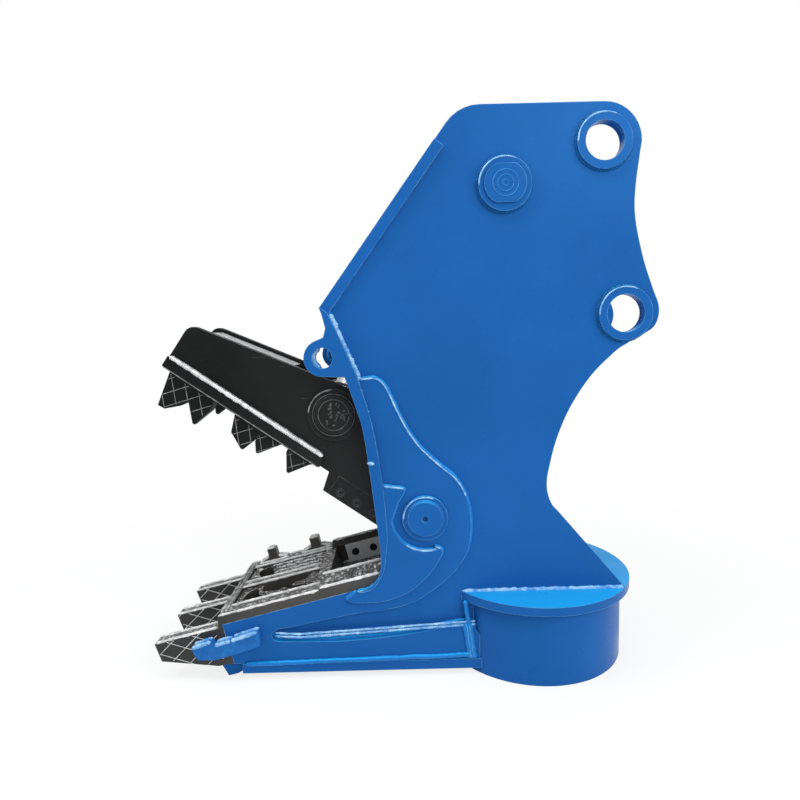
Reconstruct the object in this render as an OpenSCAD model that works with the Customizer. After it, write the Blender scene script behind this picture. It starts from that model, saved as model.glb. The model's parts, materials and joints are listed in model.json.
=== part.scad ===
// Demolition crusher for a 20 tonne excavator: a welded frame with a fixed lower jaw and a
// round magnet, and an upper jaw that one hydraulic cylinder closes about the pivot pin.
// +X points to the excavator, -X to the jaw tips, +Z up, Y = 0 is the middle plane.
// The origin is the centre of the upper mount bore. The tool stands on its magnet and nose.

/* [Excavator mount] */
// Distance between the centres of the two mount bores
pin_spread = 455; // [445:1:465]
// Lean of the line through the two mount bores, in degrees
pin_lean = 8; // [7:0.5:9]
// Bore of the mount bosses
mount_bore_d = 102; // [94:1:106]
// Outer diameter of the mount bosses
mount_boss_d = 146; // [138:1:150]
// Distance that the mount bosses stand proud of the side plates
mount_boss_proud = 12; // [8:1:16]
// Gap between the side plates, which takes the excavator's arm
bay_w = 310; // [304:1:320]

/* [Frame] */
// Thickness of the side plates
side_t = 25; // [20:1:30]
// Height of the side plates above the upper mount bore
top_rise = 101; // [96:1:108]
// Thickness of the sloped front cover
cover_t = 30; // [24:1:34]
// Distance that the front cover stands proud of the side plates
cover_proud = 12; // [8:1:16]
// Thickness of the cheek plates
cheek_t = 16; // [12:1:20]
// Distance from the pivot pin to the rear edge of the cheek plates
cheek_r = 130; // [126:1:134]
// Thickness of the throat plates on the cheek plates
throat_t = 12; // [8:1:16]
// Thickness of the edge strips with the lifting eyes
strip_t = 30; // [24:1:34]
// Bore of the lifting eyes
eye_bore_d = 56; // [50:1:60]
// Outer diameter of the lifting eyes
eye_d = 100; // [94:1:106]
// Thickness of the bottom plate
bottom_t = 28; // [24:1:32]
// Height of the bottom plate above the ground
bottom_clear = 17; // [12:1:22]
// Distance that the bottom plate stands proud of the side plates
bottom_proud = 20; // [17:1:24]
// Thickness of the inner cross plates
web_t = 20; // [16:1:24]

/* [Main pivot] */
// Distance of the pivot pin ahead of the upper mount bore
pivot_ahead = 492; // [486:1:498]
// Distance of the pivot pin below the upper mount bore
pivot_drop = 1005; // [995:1:1015]
// Diameter of the pivot pin
pivot_pin_d = 106; // [96:1:110]
// Outer diameter of the bushes in the jaw hub
pivot_bush_d = 126; // [122:1:134]
// Outer diameter of the pivot collars
pivot_collar_d = 128; // [124:1:134]
// Distance that the pivot pin stands proud of the cheek plates
pivot_pin_proud = 18; // [14:1:22]

/* [Cylinder] */
// Distance of the base pin ahead of the upper mount bore
base_pin_ahead = 263; // [258:1:268]
// Distance of the base pin below the upper mount bore
base_pin_drop = 104; // [98:1:110]
// Diameter of the base pin
base_pin_d = 90; // [80:1:96]
// Outer diameter of the base pin bosses
base_boss_d = 142; // [136:1:148]
// Outer diameter of the barrel
barrel_d = 184; // [176:1:190]
// Bore of the barrel
barrel_bore_d = 150; // [140:1:154]
// Diameter of the piston rod
rod_d = 100; // [90:1:106]
// Outer diameter of the cylinder head
head_d = 200; // [194:1:206]
// Outer diameter of the two cylinder eyes
rod_eye_d = 176; // [170:1:180]
// Diameter of the rod pin
rod_pin_d = 84; // [76:1:88]
// Room between the rod pin and the bore of the rod eye
rod_pin_room = 20; // [20:0.5:21]

/* [Upper jaw] */
// Width over the two jaw plates
jaw_w = 260; // [250:1:264]
// Thickness of the jaw plates
jaw_plate_t = 25; // [20:1:30]
// Angle of the tooth line above level when the jaw is open
jaw_rest_angle = 35.2; // [34:0.1:36]
// Distance from the pivot pin to the front end of the upper jaw
jaw_reach = 850; // [840:1:860]
// Distance of the rod pin along the upper jaw
rod_pin_reach = 372; // [366:1:378]
// Distance of the rod pin above the line through the pivot pin
rod_pin_rise = 91; // [86:1:96]
// Radius of the jaw plates round the rod pin
jaw_back_r = 86; // [82:1:92]
// Radius of the jaw plates round the pivot pin
hub_r = 113; // [108:1:118]
// Distance of the tooth line below the pivot pin
tooth_line = 57.5; // [54:0.5:61]
// Height of the side rails
rail_h = 32; // [28:1:36]
// Thickness of the side rails
rail_t = 20; // [14:1:22]
// Thickness of the tooth bars
tooth_bar_t = 9; // [7:1:12]
// Height of the longest teeth
tooth_h = 103; // [96:1:106]
// Width of the teeth
tooth_w = 45; // [38:1:48]
// Outer diameter of the rod pin bosses
rod_boss_d = 150; // [142:1:156]
// Distance that the rod pin bosses stand proud of the jaw plates
rod_boss_proud = 8; // [5:1:12]

/* [Lower jaw] */
// Slope of the lower jaw, in degrees below level
low_angle = 13.5; // [13:0.1:14]
// Distance from the pivot pin to the front of the nose teeth
rib_reach = 845; // [835:1:855]
// Distance of the grid's top face below the pivot pin
rib_level = 130; // [128:1:134]
// Step from the grid's top face down to the nose teeth
nose_step = 33; // [28:1:36]
// Height of the nose's heel above the ground
nose_h = 39; // [34:1:44]
// Depth of the ribs below the grid's top face
rib_depth = 144; // [138:1:150]
// Thickness of each rib
rib_t = 45; // [40:1:46]
// Height of the studs on the far rib
stud_h = 42; // [36:1:44]
// Height of the cutter blades
blade_h = 62; // [56:1:64]
// Thickness of the cutter blades
blade_t = 18; // [14:1:20]
// Diameter of the blade bolt heads
blade_bolt_d = 26; // [20:1:30]

/* [Magnet] */
// Height of the flange's top face above the ground
magnet_h = 240; // [230:1:250]
// Distance of the magnet's centre ahead of the upper mount bore
drum_ahead = 155; // [150:1:160]
// Radius of the magnet flange
flange_r = 296; // [288:1:304]
// Thickness of the magnet flange
flange_t = 25; // [20:1:30]
// Radius of the magnet housing
drum_r = 270; // [264:1:276]
// Wall thickness of the magnet housing
drum_wall = 45; // [38:1:50]
// Radius of the magnet core
core_r = 95; // [85:1:105]

/* [Hidden] */
$fn = 96;

paint = "#2468b4";
charcoal = "#2b2d2c";
steel = "#8f9296";

// Radial clearance of a running fit, gap at a sliding face, and the overrun of a cut
fit = 0.05;
slide_gap = 0.4;
over = 2;
// Gap at a slanted seat
seat_gap = 0.02;
// Points on each stretch of a smooth line and on each fillet
steps = 5;

// Half widths, from the middle plane outwards
inner_y = bay_w / 2;
side_y = inner_y + side_t;
cheek_y = side_y + cheek_t;
throat_y = cheek_y + throat_t;
strip_y = side_y + strip_t;
jaw_y = jaw_w / 2;
jaw_inner_y = jaw_y - jaw_plate_t;
rib_y = cheek_y - rib_t;
jaw_room = 5;
grid_y = jaw_y + jaw_room;

// Centres of the bores, as [x, z]
upper_bore = [0, 0];
lower_bore = pin_spread * [sin(pin_lean), -cos(pin_lean)];
base_centre = [-base_pin_ahead, -base_pin_drop];
pivot = [-pivot_ahead, -pivot_drop];
drum_x = -drum_ahead;

// Places in the open upper jaw: a runs from the pivot to the tips, h runs to its back
function up(a, h) = pivot + a * [-cos(jaw_rest_angle), sin(jaw_rest_angle)]
    + h * [sin(jaw_rest_angle), cos(jaw_rest_angle)];
// Places in the lower jaw: b runs from the pivot to the tips, k runs upwards
function low(b, k) = pivot + b * [-cos(low_angle), -sin(low_angle)]
    + k * [-sin(low_angle), cos(low_angle)];
rod_centre = up(rod_pin_reach, rod_pin_rise);

// The nose's heel sets how high the tool stands
rib_foot = -(rib_level + rib_depth);
nose_reach_share = 0.81;
nose_heel = low(rib_reach * nose_reach_share, rib_foot);
stand_drop = nose_h - nose_heel.y;
flange_drop = stand_drop - magnet_h;

// Heights of the frame's floor
bottom_z = -stand_drop + bottom_clear;
bottom_top = bottom_z + bottom_t;

// A smooth line through the points, and a fillet of radius r at b between a and c
function spline(p0, p1, p2, p3, t) = (2 * p1 + (p2 - p0) * t
    + (2 * p0 - 5 * p1 + 4 * p2 - p3) * t * t
    + (3 * p1 - p0 - 3 * p2 + p3) * t * t * t) / 2;
function smooth(p) = [for (i = [0 : len(p) - 2]) for (j = [0 : steps - 1])
    spline(p[max(i - 1, 0)], p[i], p[i + 1], p[min(i + 2, len(p) - 1)], j / steps),
    p[len(p) - 1]];
function unit(v) = v / norm(v);
function fillet(a, b, c, r) = let (
    u = unit(a - b),
    w = unit(c - b),
    half = acos(u * w) / 2,
    centre = b + unit(u + w) * r / sin(half),
    p = b + u * r / tan(half) - centre,
    q = b + w * r / tan(half) - centre,
    turn = 180 - 2 * half,
    side = sign(p.x * q.y - p.y * q.x),
    start = atan2(p.y, p.x))
    [for (i = [0 : steps]) centre
        + r * [cos(start + side * turn * i / steps), sin(start + side * turn * i / steps)]];
function arc(c, r, from, to) = [for (i = [0 : 3 * steps]) let (
    turn = from + (to - from) * i / (3 * steps)) c + r * [cos(turn), sin(turn)]];
function scaled(shares, size, from) = [for (s = shares) from + s * size];
function slice(p, first, last) = [for (i = [first : last]) p[i]];
function flip(p) = [for (i = [len(p) - 1 : -1 : 0]) p[i]];
// A line moved sideways by d, to its left
function shifted(p, d) = [for (i = [0 : len(p) - 1]) let (
    u = unit(p[min(i + 1, len(p) - 1)] - p[max(i - 1, 0)]))
    p[i] + d * [-u.y, u.x]];

// Outline of the side plates: the bay and lobe follow the mount, the waist the frame
lobe_shares = [
    [0.213, -0.06], [0.189, -0.275], [0.193, -0.44], [0.242, -0.66], [0.305, -0.846],
    [0.34, -0.934], [0.345, -1.0], [0.323, -1.066], [0.28, -1.103], [0.235, -1.125],
    [0.152, -1.174], [0.084, -1.22],
];
waist_shares = [
    [-0.022, -0.504], [-0.068, -0.575], [-0.098, -0.647], [-0.115, -0.715],
    [-0.119, -0.744], [-0.117, -0.77], [-0.107, -0.797], [-0.091, -0.8155],
];
// Outer line of the front cover, and the front edge of the frame below it
cover_shares = [[-0.364, 0.0115], [-0.6225, -0.3375]];
front_shares = [
    [-0.571, -0.492], [-0.554, -0.542], [-0.535, -0.61], [-0.523, -0.701],
    [-0.513, -0.793], [-0.503, -0.886],
];
neck_shares = [[-0.617, -0.353], [-0.6095, -0.384]];
eye_share = [-0.619, -0.449];
strip_shares = [
    [-0.572, -0.423], [-0.5415, -0.499], [-0.514, -0.598],
    [-0.498, -0.701], [-0.489, -0.793], [-0.4865, -0.86], [-0.4915, -0.905],
    [-0.4985, -0.943], [-0.525, -0.9795],
];
corner_r_share = 0.09;
throat_r_share = 0.058;

cover_line = scaled(cover_shares, flange_drop, upper_bore);
cover_dir = unit(cover_line[1] - cover_line[0]);
cover_in = [-cover_dir.y, cover_dir.x];
cover_head = cover_line[0] + cover_in * cover_t;
cover_foot = cover_line[1] + cover_in * cover_t;
front_corner = cover_line[0]
    + cover_dir * (top_rise - cover_line[0].y) / cover_dir.y;
lobe_line = scaled(lobe_shares, pin_spread, upper_bore);
waist_line = scaled(waist_shares, flange_drop, upper_bore);
back_line = smooth(waist_line);
front_line = smooth(scaled(front_shares, flange_drop, upper_bore));
throat_x = front_line[len(front_line) - 1].x;
flange_reach = sqrt(flange_r * flange_r - side_y * side_y);

// The cheek plates' top edge, and where a level of the lower jaw crosses an upright line
cheek_set = 26;
cheek_k = -(rib_level + cheek_set);
function low_at_x(x, k) = low((pivot.x - k * sin(low_angle) - x) / cos(low_angle), k);
function low_at_z(z, k) = low((pivot.y + k * cos(low_angle) - z) / sin(low_angle), k);
function low_down(b, z) = low(b, (z - pivot.y + b * sin(low_angle)) / cos(low_angle));
throat_corner = low_at_x(throat_x, cheek_k);
strip_end = low_at_x(throat_x - flange_drop * throat_r_share, cheek_k);
cheek_front_share = 0.758;
cheek_front = rib_reach * cheek_front_share;
strip_line = smooth(concat([cover_foot], scaled(strip_shares, flange_drop, upper_bore),
    [strip_end]));
eye_centre = eye_share * flange_drop;
neck_line = scaled(neck_shares, flange_drop, upper_bore);

// A slab between y0 and y1 over an outline in x and z
module slab(y0, y1) {
    translate([0, y1, 0]) rotate([90, 0, 0]) linear_extrude(y1 - y0) children();
}
// The same slab on the near side (s = -1) or the far side (s = 1) of the middle plane
module side_slab(s, y0, y1) {
    slab(min(s * y0, s * y1), max(s * y0, s * y1)) children();
}
module disc(centre, r) { translate(centre) circle(r); }
module upright(r, z0, z1) { translate([drum_x, 0, z0]) cylinder(r = r, h = z1 - z0); }
module mount_holes() {
    for (c = [upper_bore, lower_bore]) disc(c, mount_bore_d / 2);
}
// A frame plate's cut where it meets the magnet
module magnet_cut() {
    upright(flange_r, -flange_drop - flange_t, -flange_drop);
    upright(drum_r, -stand_drop - over, -flange_drop - flange_t / 2);
}

// Side plates
side_outline = concat(
    fillet(cover_line[0], front_corner, [0, top_rise], flange_drop * corner_r_share),
    [for (i = [0 : 2 * steps]) top_rise * [sin(90 * i / (2 * steps)), cos(90 * i / (2 * steps))]],
    smooth(concat(slice(lobe_line, 0, 11), waist_line)),
    [[drum_x + flange_reach, -flange_drop], [drum_x, -flange_drop]],
    [[drum_x, bottom_top], low_down(cheek_front, bottom_top)],
    [low(cheek_front, cheek_k), throat_corner],
    flip(front_line),
    [cover_foot, cover_head, cover_line[0]]);
module side_plate(s) {
    color(paint) difference() {
        side_slab(s, inner_y, side_y) difference() {
            polygon(side_outline);
            mount_holes();
            disc(base_centre, base_pin_d / 2 + fit);
            disc(pivot, pivot_pin_d / 2 + fit);
        }
        magnet_cut();
    }
}

// Cheek plates: the doubler round the pivot with its long pocket above the bottom finger
cheek_back_shares = [
    [-1.05, 3.04], [-0.8, 2.88], [-0.45, 2.12], [-0.1, 1.56], [0.36, 1.11], [0.7, 0.8],
    [0.92, 0.35], [0.99, -0.25], [0.89, -0.82], [0.55, -1.3], [-0.03, -1.76],
    [-0.52, -1.98], [-1.03, -2.08], [-1.6, -2.14], [-2.98, -2.41],
];
pocket_end_shares = [
    [-3.28, -2.45], [-3.41, -2.52], [-3.43, -2.62], [-3.36, -2.72], [-3.19, -2.745],
];
finger_shares = [[-2.02, -2.77], [-1.1, -2.71], [-0.16, -2.6], [0.77, -2.41], [1.03, -2.5]];
cheek_outline = concat(
    smooth(scaled(cheek_back_shares, cheek_r, pivot)),
    smooth(scaled(pocket_end_shares, cheek_r, pivot)),
    smooth(scaled(finger_shares, cheek_r, pivot)),
    [[pivot.x + cheek_r * 1.5, bottom_top], low_down(cheek_front, bottom_top)],
    [low(cheek_front, cheek_k)],
    flip(slice(strip_line, 2 * steps, len(strip_line) - 1)));
module cheek_plate(s) {
    color(paint) difference() {
        side_slab(s, side_y, cheek_y) difference() {
            polygon(cheek_outline);
            disc(pivot, pivot_pin_d / 2 + fit);
        }
        magnet_cut();
    }
}

// Throat plates: a crescent that hugs the pivot collar from below
throat_back_shares = [
    [0.19, -0.62], [0.33, -0.68], [0.35, -0.79], [0.19, -1.07], [0.01, -1.3],
    [-0.34, -1.6], [-0.8, -1.8], [-1.19, -1.855], [-1.6, -1.84], [-1.75, -1.77],
];
throat_top_shares = [[-0.51, 0.68], [-0.42, 0.62], [-0.57, 0.38]];
collar_room_share = 0.715;
throat_outline = concat(
    smooth(scaled(throat_top_shares, cheek_r, pivot)),
    arc(pivot, cheek_r * collar_room_share, 182, 290),
    smooth(scaled(throat_back_shares, cheek_r, pivot)),
    flip(slice(strip_line, 5 * steps - 3, len(strip_line) - 1)));
module throat_plate(s) {
    color(paint) side_slab(s, cheek_y, throat_y) polygon(throat_outline);
}

// Edge strips: a bar down the front edge of each side, with the lifting eye
eye_neck_share = 0.028;
throat_arc = fillet(front_line[len(front_line) - 1], throat_corner, strip_end,
    flange_drop * throat_r_share);
strip_outline = concat(
    [cover_line[1]], neck_line,
    [neck_line[1] + flange_drop * eye_neck_share * [-0.2, -0.7]],
    arc(eye_centre, eye_d / 2, 108, 270), front_line, throat_arc,
    flip(strip_line));
module edge_strip(s) {
    color(paint) side_slab(s, side_y, strip_y) difference() {
        polygon(strip_outline);
        disc(eye_centre, eye_bore_d / 2);
    }
}

// Cross plates of the frame
module front_cover() {
    color(paint) slab(-side_y - cover_proud, side_y + cover_proud)
        polygon([cover_line[0], cover_line[1], cover_foot, cover_head]);
}
module top_cover() {
    ahead = flange_drop * bay_shares[0].x - web_t;
    outer = concat([cover_line[0]], fillet(cover_line[0], front_corner, [0, top_rise],
        flange_drop * corner_r_share), [[ahead, top_rise]]);
    color(paint) slab(-inner_y, inner_y)
        polygon(concat(outer, flip(shifted(slice(outer, 1, len(outer) - 1), -web_t)),
            [cover_head]));
}
bay_shares = [[-0.122, 0.0], [-0.122, -0.4], [-0.085, -0.6]];
back_foot = [drum_x + flange_reach, -flange_drop];
back_outer = concat(shifted(back_line, -web_t / 4), [back_foot - [web_t, 0]]);
back_inner = concat(shifted(back_line, -web_t * 5 / 4), [back_foot - [web_t * 5 / 2, 0]]);
module bay_web() {
    wall = scaled(bay_shares, flange_drop, upper_bore);
    line = concat([[wall[0].x, top_rise]], fillet(wall[0], wall[1], wall[2],
        flange_drop * corner_r_share), [wall[2]]);
    color(paint) slab(-inner_y, inner_y) difference() {
        polygon(concat(line, flip(shifted(line, -web_t))));
        polygon(concat(back_inner, [[flange_drop, -flange_drop]]));
    }
}
module back_plate() {
    color(paint) slab(-inner_y, inner_y) polygon(concat(back_outer, flip(back_inner)));
}
guard_r_share = 1.33;
module hub_guard() {
    r = hub_r * guard_r_share;
    arc = [for (i = [0 : 4 * steps]) let (turn = 255 + 90 * i / (4 * steps))
        [cos(turn), sin(turn)]];
    color(paint) slab(-inner_y, inner_y) polygon(concat(
        [for (p = arc) pivot + p * r], flip([for (p = arc) pivot + p * (r + web_t)])));
}

// Bosses and pins of the frame
module ring_pair(centre, r, bore, y0, y1) {
    for (s = [-1, 1]) side_slab(s, y0, y1) difference() {
        disc(centre, r);
        disc(centre, bore);
    }
}
module mount_bosses() {
    color(paint) for (c = [upper_bore, lower_bore])
        ring_pair(c, mount_boss_d / 2, mount_bore_d / 2, side_y, side_y + mount_boss_proud);
}
base_boss_y = side_y + mount_boss_proud * 5 / 4;
base_cap_t = 6;
module base_pin_bosses() {
    color(paint)
        ring_pair(base_centre, base_boss_d / 2, base_pin_d / 2 + fit, side_y, base_boss_y);
}
// The base pin's round ends have two flats, as a key plate would hold them
base_cap_r_share = 0.79;
base_flat_share = 0.7;
module base_pin() {
    r = base_boss_d / 2 * base_cap_r_share;
    color(paint) {
        slab(-base_boss_y, base_boss_y) disc(base_centre, base_pin_d / 2);
        for (s = [-1, 1]) side_slab(s, base_boss_y, base_boss_y + base_cap_t)
            intersection() {
                disc(base_centre, r);
                translate(base_centre)
                    square([base_boss_d, 2 * base_boss_d / 2 * base_flat_share], center = true);
            }
    }
}
pin_bevel = 5;
pin_dimple_r = 9;
module pivot_pin() {
    end = cheek_y + pivot_pin_proud;
    color(paint) difference() {
        union() {
            slab(-end + pin_bevel, end - pin_bevel) disc(pivot, pivot_pin_d / 2);
            for (s = [-1, 1]) translate([pivot.x, s * (end - pin_bevel), pivot.y])
                rotate([-90 * s, 0, 0]) cylinder(r1 = pivot_pin_d / 2,
                    r2 = pivot_pin_d / 2 - pin_bevel, h = pin_bevel);
        }
        for (s = [-1, 1]) side_slab(s, end - pin_dimple_r, end + over)
            disc(pivot, pin_dimple_r);
    }
}
module pivot_collars() {
    color(paint) ring_pair(pivot, pivot_collar_d / 2, pivot_pin_d / 2 + fit,
        cheek_y, cheek_y + pivot_pin_proud / 2);
}
washer_inset = 13;
module thrust_washers() {
    color(steel) ring_pair(pivot, hub_r - washer_inset, pivot_pin_d / 2 + fit,
        jaw_y + slide_gap, inner_y);
}

// Floor of the frame
nose_lip_shares = [[0.62, 1.0], [1.45, 0.83], [2.0, 0.55]];
nose_line = [for (s = nose_lip_shares) nose_heel + nose_h * [s.x * 0.87, -s.y]];
nose_end = nose_line[2].x;
module bottom_plate() {
    color(paint) difference() {
        slab(-side_y - bottom_proud, side_y + bottom_proud)
            polygon([[nose_end, bottom_z], [nose_end, bottom_top],
                [drum_x, bottom_top], [drum_x, bottom_z]]);
        magnet_cut();
    }
}
module nose_plate() {
    color(paint) slab(-side_y, side_y) polygon([nose_heel, nose_line[0], nose_line[1],
        [nose_end, bottom_z], [nose_end, bottom_top], low_at_z(bottom_top, rib_foot)]);
}
floor_web_shares = [0.46, 0.325];
module floor_web() {
    top = rib_foot - seat_gap;
    rear = low_at_x(-flange_drop * floor_web_shares[0], top);
    tail = -flange_drop * floor_web_shares[1];
    color(paint) difference() {
        slab(-web_t / 2, web_t / 2) polygon([low_at_z(bottom_top, top), rear,
            [tail, rear.y], [tail, bottom_top]]);
        magnet_cut();
    }
}
hook_shares = [
    [0.639, -1.48], [0.64, -1.64], [0.648, -1.82], [0.737, -1.86], [0.806, -1.87],
    [0.86, -1.78], [0.87, -1.6], [0.87, -1.48], [0.8, -1.44], [0.793, -1.54],
    [0.735, -1.53],
];
hook_t = 22;
module guard_hooks() {
    line = [for (p = hook_shares) low(rib_reach * p.x, rib_level * p.y)];
    color(paint) for (s = [-1, 1]) side_slab(s, cheek_y, cheek_y + hook_t) polygon(line);
}

// Lower jaw: three ribs that end in nose teeth, a front bar, two pierced decks and a block
rib_end = -(rib_level + nose_step);
bar_shares = [0.736, 0.775];
bar_b = rib_reach * bar_shares[0];
nose_b = rib_reach * bar_shares[1];
nose_rear = cheek_front + seat_gap;
seat_k = cheek_k + seat_gap;
nose_tip = [low(rib_reach - nose_step / 7, -(rib_level + rib_depth * 0.61)),
    low(rib_reach, rib_end), low(nose_b, rib_end)];
// The step behind the nose teeth that the front bar sits on
bar_step = [low(nose_b, cheek_k), low(bar_b - seat_gap, cheek_k),
    low(bar_b - seat_gap, -rib_level)];
// Room for the round corner of the edge strip at the throat
module throat_cut() { polygon(concat(throat_arc, [strip_end, throat_corner])); }
// A profile in y and k that runs along the lower jaw from the pivot to the tips
module low_run() {
    translate([pivot.x, 0, pivot.y]) rotate([0, -low_angle, 0]) rotate([0, -90, 0])
        linear_extrude(rib_reach) children();
}
// A plan in b and y, made k1 - k0 thick
module low_plan(k0, k1) {
    translate([pivot.x, 0, pivot.y]) rotate([0, -low_angle, 0]) translate([0, 0, k0])
        linear_extrude(k1 - k0) mirror([1, 0]) children();
}
wear_block_share = 0.4;
wear_block_rise = 26;
wear_block_edge = 4;
module wear_block(s) {
    b = rib_reach * wear_block_share;
    top = wear_block_rise - rib_level;
    root = -rib_level - wear_block_rise / 3;
    inside = s * (grid_y - over);
    outside = s * (cheek_y + over);
    intersection() {
        side_slab(s, grid_y, cheek_y) difference() {
            polygon([low(b + wear_block_rise / 3, root), low(b, top + over),
                low_at_x(throat_x, top + over), low_at_x(throat_x, root)]);
            throat_cut();
        }
        low_run() polygon([[top, inside], [wear_block_edge - rib_level, outside],
            [cheek_k, outside], [cheek_k, inside]]);
    }
}
// The outer ribs: an inner web, a head that lies on the side and cheek plates, and the nose
pocket_shares = [0.13, 0.39];
blade_room = 1;
blade_y = jaw_y + blade_room;
module rib_outer(s) {
    pocket = [for (p = pocket_shares) rib_reach * p];
    tail = low_at_x(throat_x, -rib_level);
    web_b = (nose_b + nose_rear) / 2;
    head_foot = [low_at_x(throat_x, seat_k), low(bar_b - seat_gap, seat_k)];
    nose_foot = [low(nose_rear, seat_k), low_down(nose_rear, bottom_top),
        low_at_z(bottom_top, rib_foot), nose_heel];
    difference() {
        union() {
            side_slab(s, grid_y, inner_y) polygon([low(web_b, rib_foot), low(web_b, rib_end),
                low(bar_b - seat_gap, rib_end), bar_step[2], tail,
                low_at_x(throat_x, rib_foot)]);
            side_slab(s, grid_y, side_y) polygon(concat(head_foot, [bar_step[2], tail]));
            side_slab(s, rib_y, side_y) polygon(concat(nose_foot, nose_tip, [bar_step[0]]));
            side_slab(s, side_y, cheek_y) difference() {
                polygon(concat(head_foot, nose_foot, nose_tip,
                    [low(nose_b - nose_step / 4, -rib_level), bar_step[2], tail]));
                throat_cut();
            }
            wear_block(s);
        }
        side_slab(s, grid_y - over, blade_y + blade_t) polygon([
            low(pocket[0], -rib_level + over), low(pocket[1], -rib_level + over),
            low(pocket[1], -rib_level - blade_h), low(pocket[0], -rib_level - blade_h)]);
    }
}
module rib_near() { color(steel) rib_outer(-1); }
// Two studs stand on the far rib, each with a ramp before and behind it
stud_shares = [[0.642, 0.678], [0.46, 0.498]];
stud_t = 28;
stud_root_share = 0.3;
stud_sink_share = 0.25;
stud_ramp_share = 3;
module rib_far() {
    root = stud_h * stud_root_share;
    sink = root * stud_sink_share;
    ramp = (root + sink) * stud_ramp_share;
    color(steel) {
        rib_outer(1);
        for (p = stud_shares) side_slab(1, cheek_y - stud_t, cheek_y) polygon([
            low(rib_reach * p[1] + ramp, -sink - rib_level),
            low(rib_reach * p[1], root - rib_level), low(rib_reach * p[1], stud_h - rib_level),
            low(rib_reach * p[0], stud_h - rib_level), low(rib_reach * p[0], root - rib_level),
            low(rib_reach * p[0] - ramp, -sink - rib_level)]);
    }
}
block_shares = [0.432, 0.39, 0.381, 0.142];
block_b = rib_reach * block_shares[0];
module rib_middle() {
    color(steel) slab(-rib_t / 2, rib_t / 2) polygon(concat([nose_heel], nose_tip, bar_step,
        [low(block_b, -rib_level), low(block_b, rib_foot)]));
}
module front_bar() {
    color(steel) slab(-side_y, side_y) polygon([low(bar_b, seat_k), low(nose_b, seat_k),
        low(nose_b - nose_step / 4, -rib_level), low(bar_b, -rib_level)]);
}
// Decks between the ribs, with rounded pockets as shares of the reach and the half width
deck_top_share = 0.06;
deck_t_share = 0.42;
front_pocket_shares = [
    [0.695, -0.93], [0.709, -0.85], [0.713, -0.62], [0.703, -0.36], [0.683, -0.25],
    [0.668, -0.33], [0.657, -0.58], [0.632, -0.78], [0.606, -0.9], [0.63, -0.955],
    [0.668, -0.955], [0.695, -0.93],
];
rear_pocket_shares = [
    [0.648, -0.1], [0.653, -0.34], [0.643, -0.53], [0.622, -0.62], [0.56, -0.68],
    [0.537, -0.74], [0.529, -0.9], [0.513, -0.965], [0.482, -0.965], [0.467, -0.88],
    [0.474, -0.72], [0.492, -0.63], [0.524, -0.61], [0.534, -0.54], [0.524, -0.46],
    [0.495, -0.45], [0.48, -0.33], [0.48, -0.1],
];
far_pocket_shares = [
    [0.695, 0.94], [0.709, 0.82], [0.703, 0.62], [0.691, 0.48], [0.695, 0.3], [0.7, 0.1],
    [0.62, 0.1], [0.627, 0.3], [0.637, 0.48], [0.645, 0.7], [0.66, 0.9], [0.678, 0.96],
    [0.695, 0.94],
];
module deck(s, pockets) {
    k1 = -rib_level - rib_depth * deck_top_share;
    b = [block_b + seat_gap, bar_b - seat_gap];
    y = [s * rib_t / 2, s * grid_y];
    color(steel) low_plan(k1 - rib_depth * deck_t_share, k1) difference() {
        polygon([[b[0], y[0]], [b[1], y[0]], [b[1], y[1]], [b[0], y[1]]]);
        for (p = pockets) polygon(smooth([for (q = p) [rib_reach * q.x, grid_y * q.y]]));
    }
}
module grid_links() { deck(-1, [front_pocket_shares, rear_pocket_shares]); }
module grid_plate() { deck(1, [far_pocket_shares]); }
grid_sink = 2;
module throat_block() {
    deep = -rib_level - blade_h - slide_gap;
    b = rib_reach * block_shares;
    color(steel) slab(-grid_y, grid_y) polygon([low(block_b, -rib_level),
        low(b[1], -rib_level - grid_sink), low(b[2], deep), low(b[3], deep),
        low(b[3], rib_foot), low(block_b, rib_foot)]);
}
bolt_shares = [0.172, 0.246, 0.32];
lower_blade_shares = [0.142, 0.355];
module lower_blades() {
    b = rib_reach * lower_blade_shares;
    color("silver") for (s = [-1, 1]) side_slab(s, blade_y, blade_y + blade_t) difference() {
        polygon([low(b[0], -rib_level), low(b[1], -rib_level),
            low(b[1], -rib_level - blade_h), low(b[0], -rib_level - blade_h)]);
        for (p = bolt_shares) disc(low(rib_reach * p, -rib_level - blade_h / 2),
            blade_bolt_d / 2 + fit);
    }
}
bolt_sink = 2;
module lower_blade_bolts() {
    color(charcoal) for (s = [-1, 1]) for (p = bolt_shares)
        side_slab(s, blade_y + bolt_sink, blade_y + blade_t)
            disc(low(rib_reach * p, -rib_level - blade_h / 2), blade_bolt_d / 2);
}

// Magnet: flange, bell housing, core, coil and the plate that shields the coil
pole_gap = 6;
coil_room = 5;
face_t = 24;
module magnet_flange() {
    color(paint) upright(flange_r, -flange_drop - flange_t, -flange_drop);
}
module magnet_housing() {
    top = -flange_drop - flange_t;
    color(paint) difference() {
        upright(drum_r, -stand_drop, top);
        upright(drum_r - drum_wall, -stand_drop - over, top - drum_wall);
    }
}
module magnet_core() {
    color(steel) upright(core_r, -stand_drop, -flange_drop - flange_t - drum_wall);
}
module magnet_coil() {
    color("#b5652a") difference() {
        upright(drum_r - drum_wall - coil_room, -stand_drop + pole_gap + face_t,
            -flange_drop - flange_t - drum_wall);
        upright(core_r + coil_room, -stand_drop, -flange_drop);
    }
}
module magnet_face_plate() {
    color(steel) difference() {
        upright(drum_r - drum_wall, -stand_drop + pole_gap, -stand_drop + pole_gap + face_t);
        upright(core_r, -stand_drop, -flange_drop);
    }
}
gland_r = 24;
gland_l = 38;
gland_turn = 32;
gland_height_share = 0.55;
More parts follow.
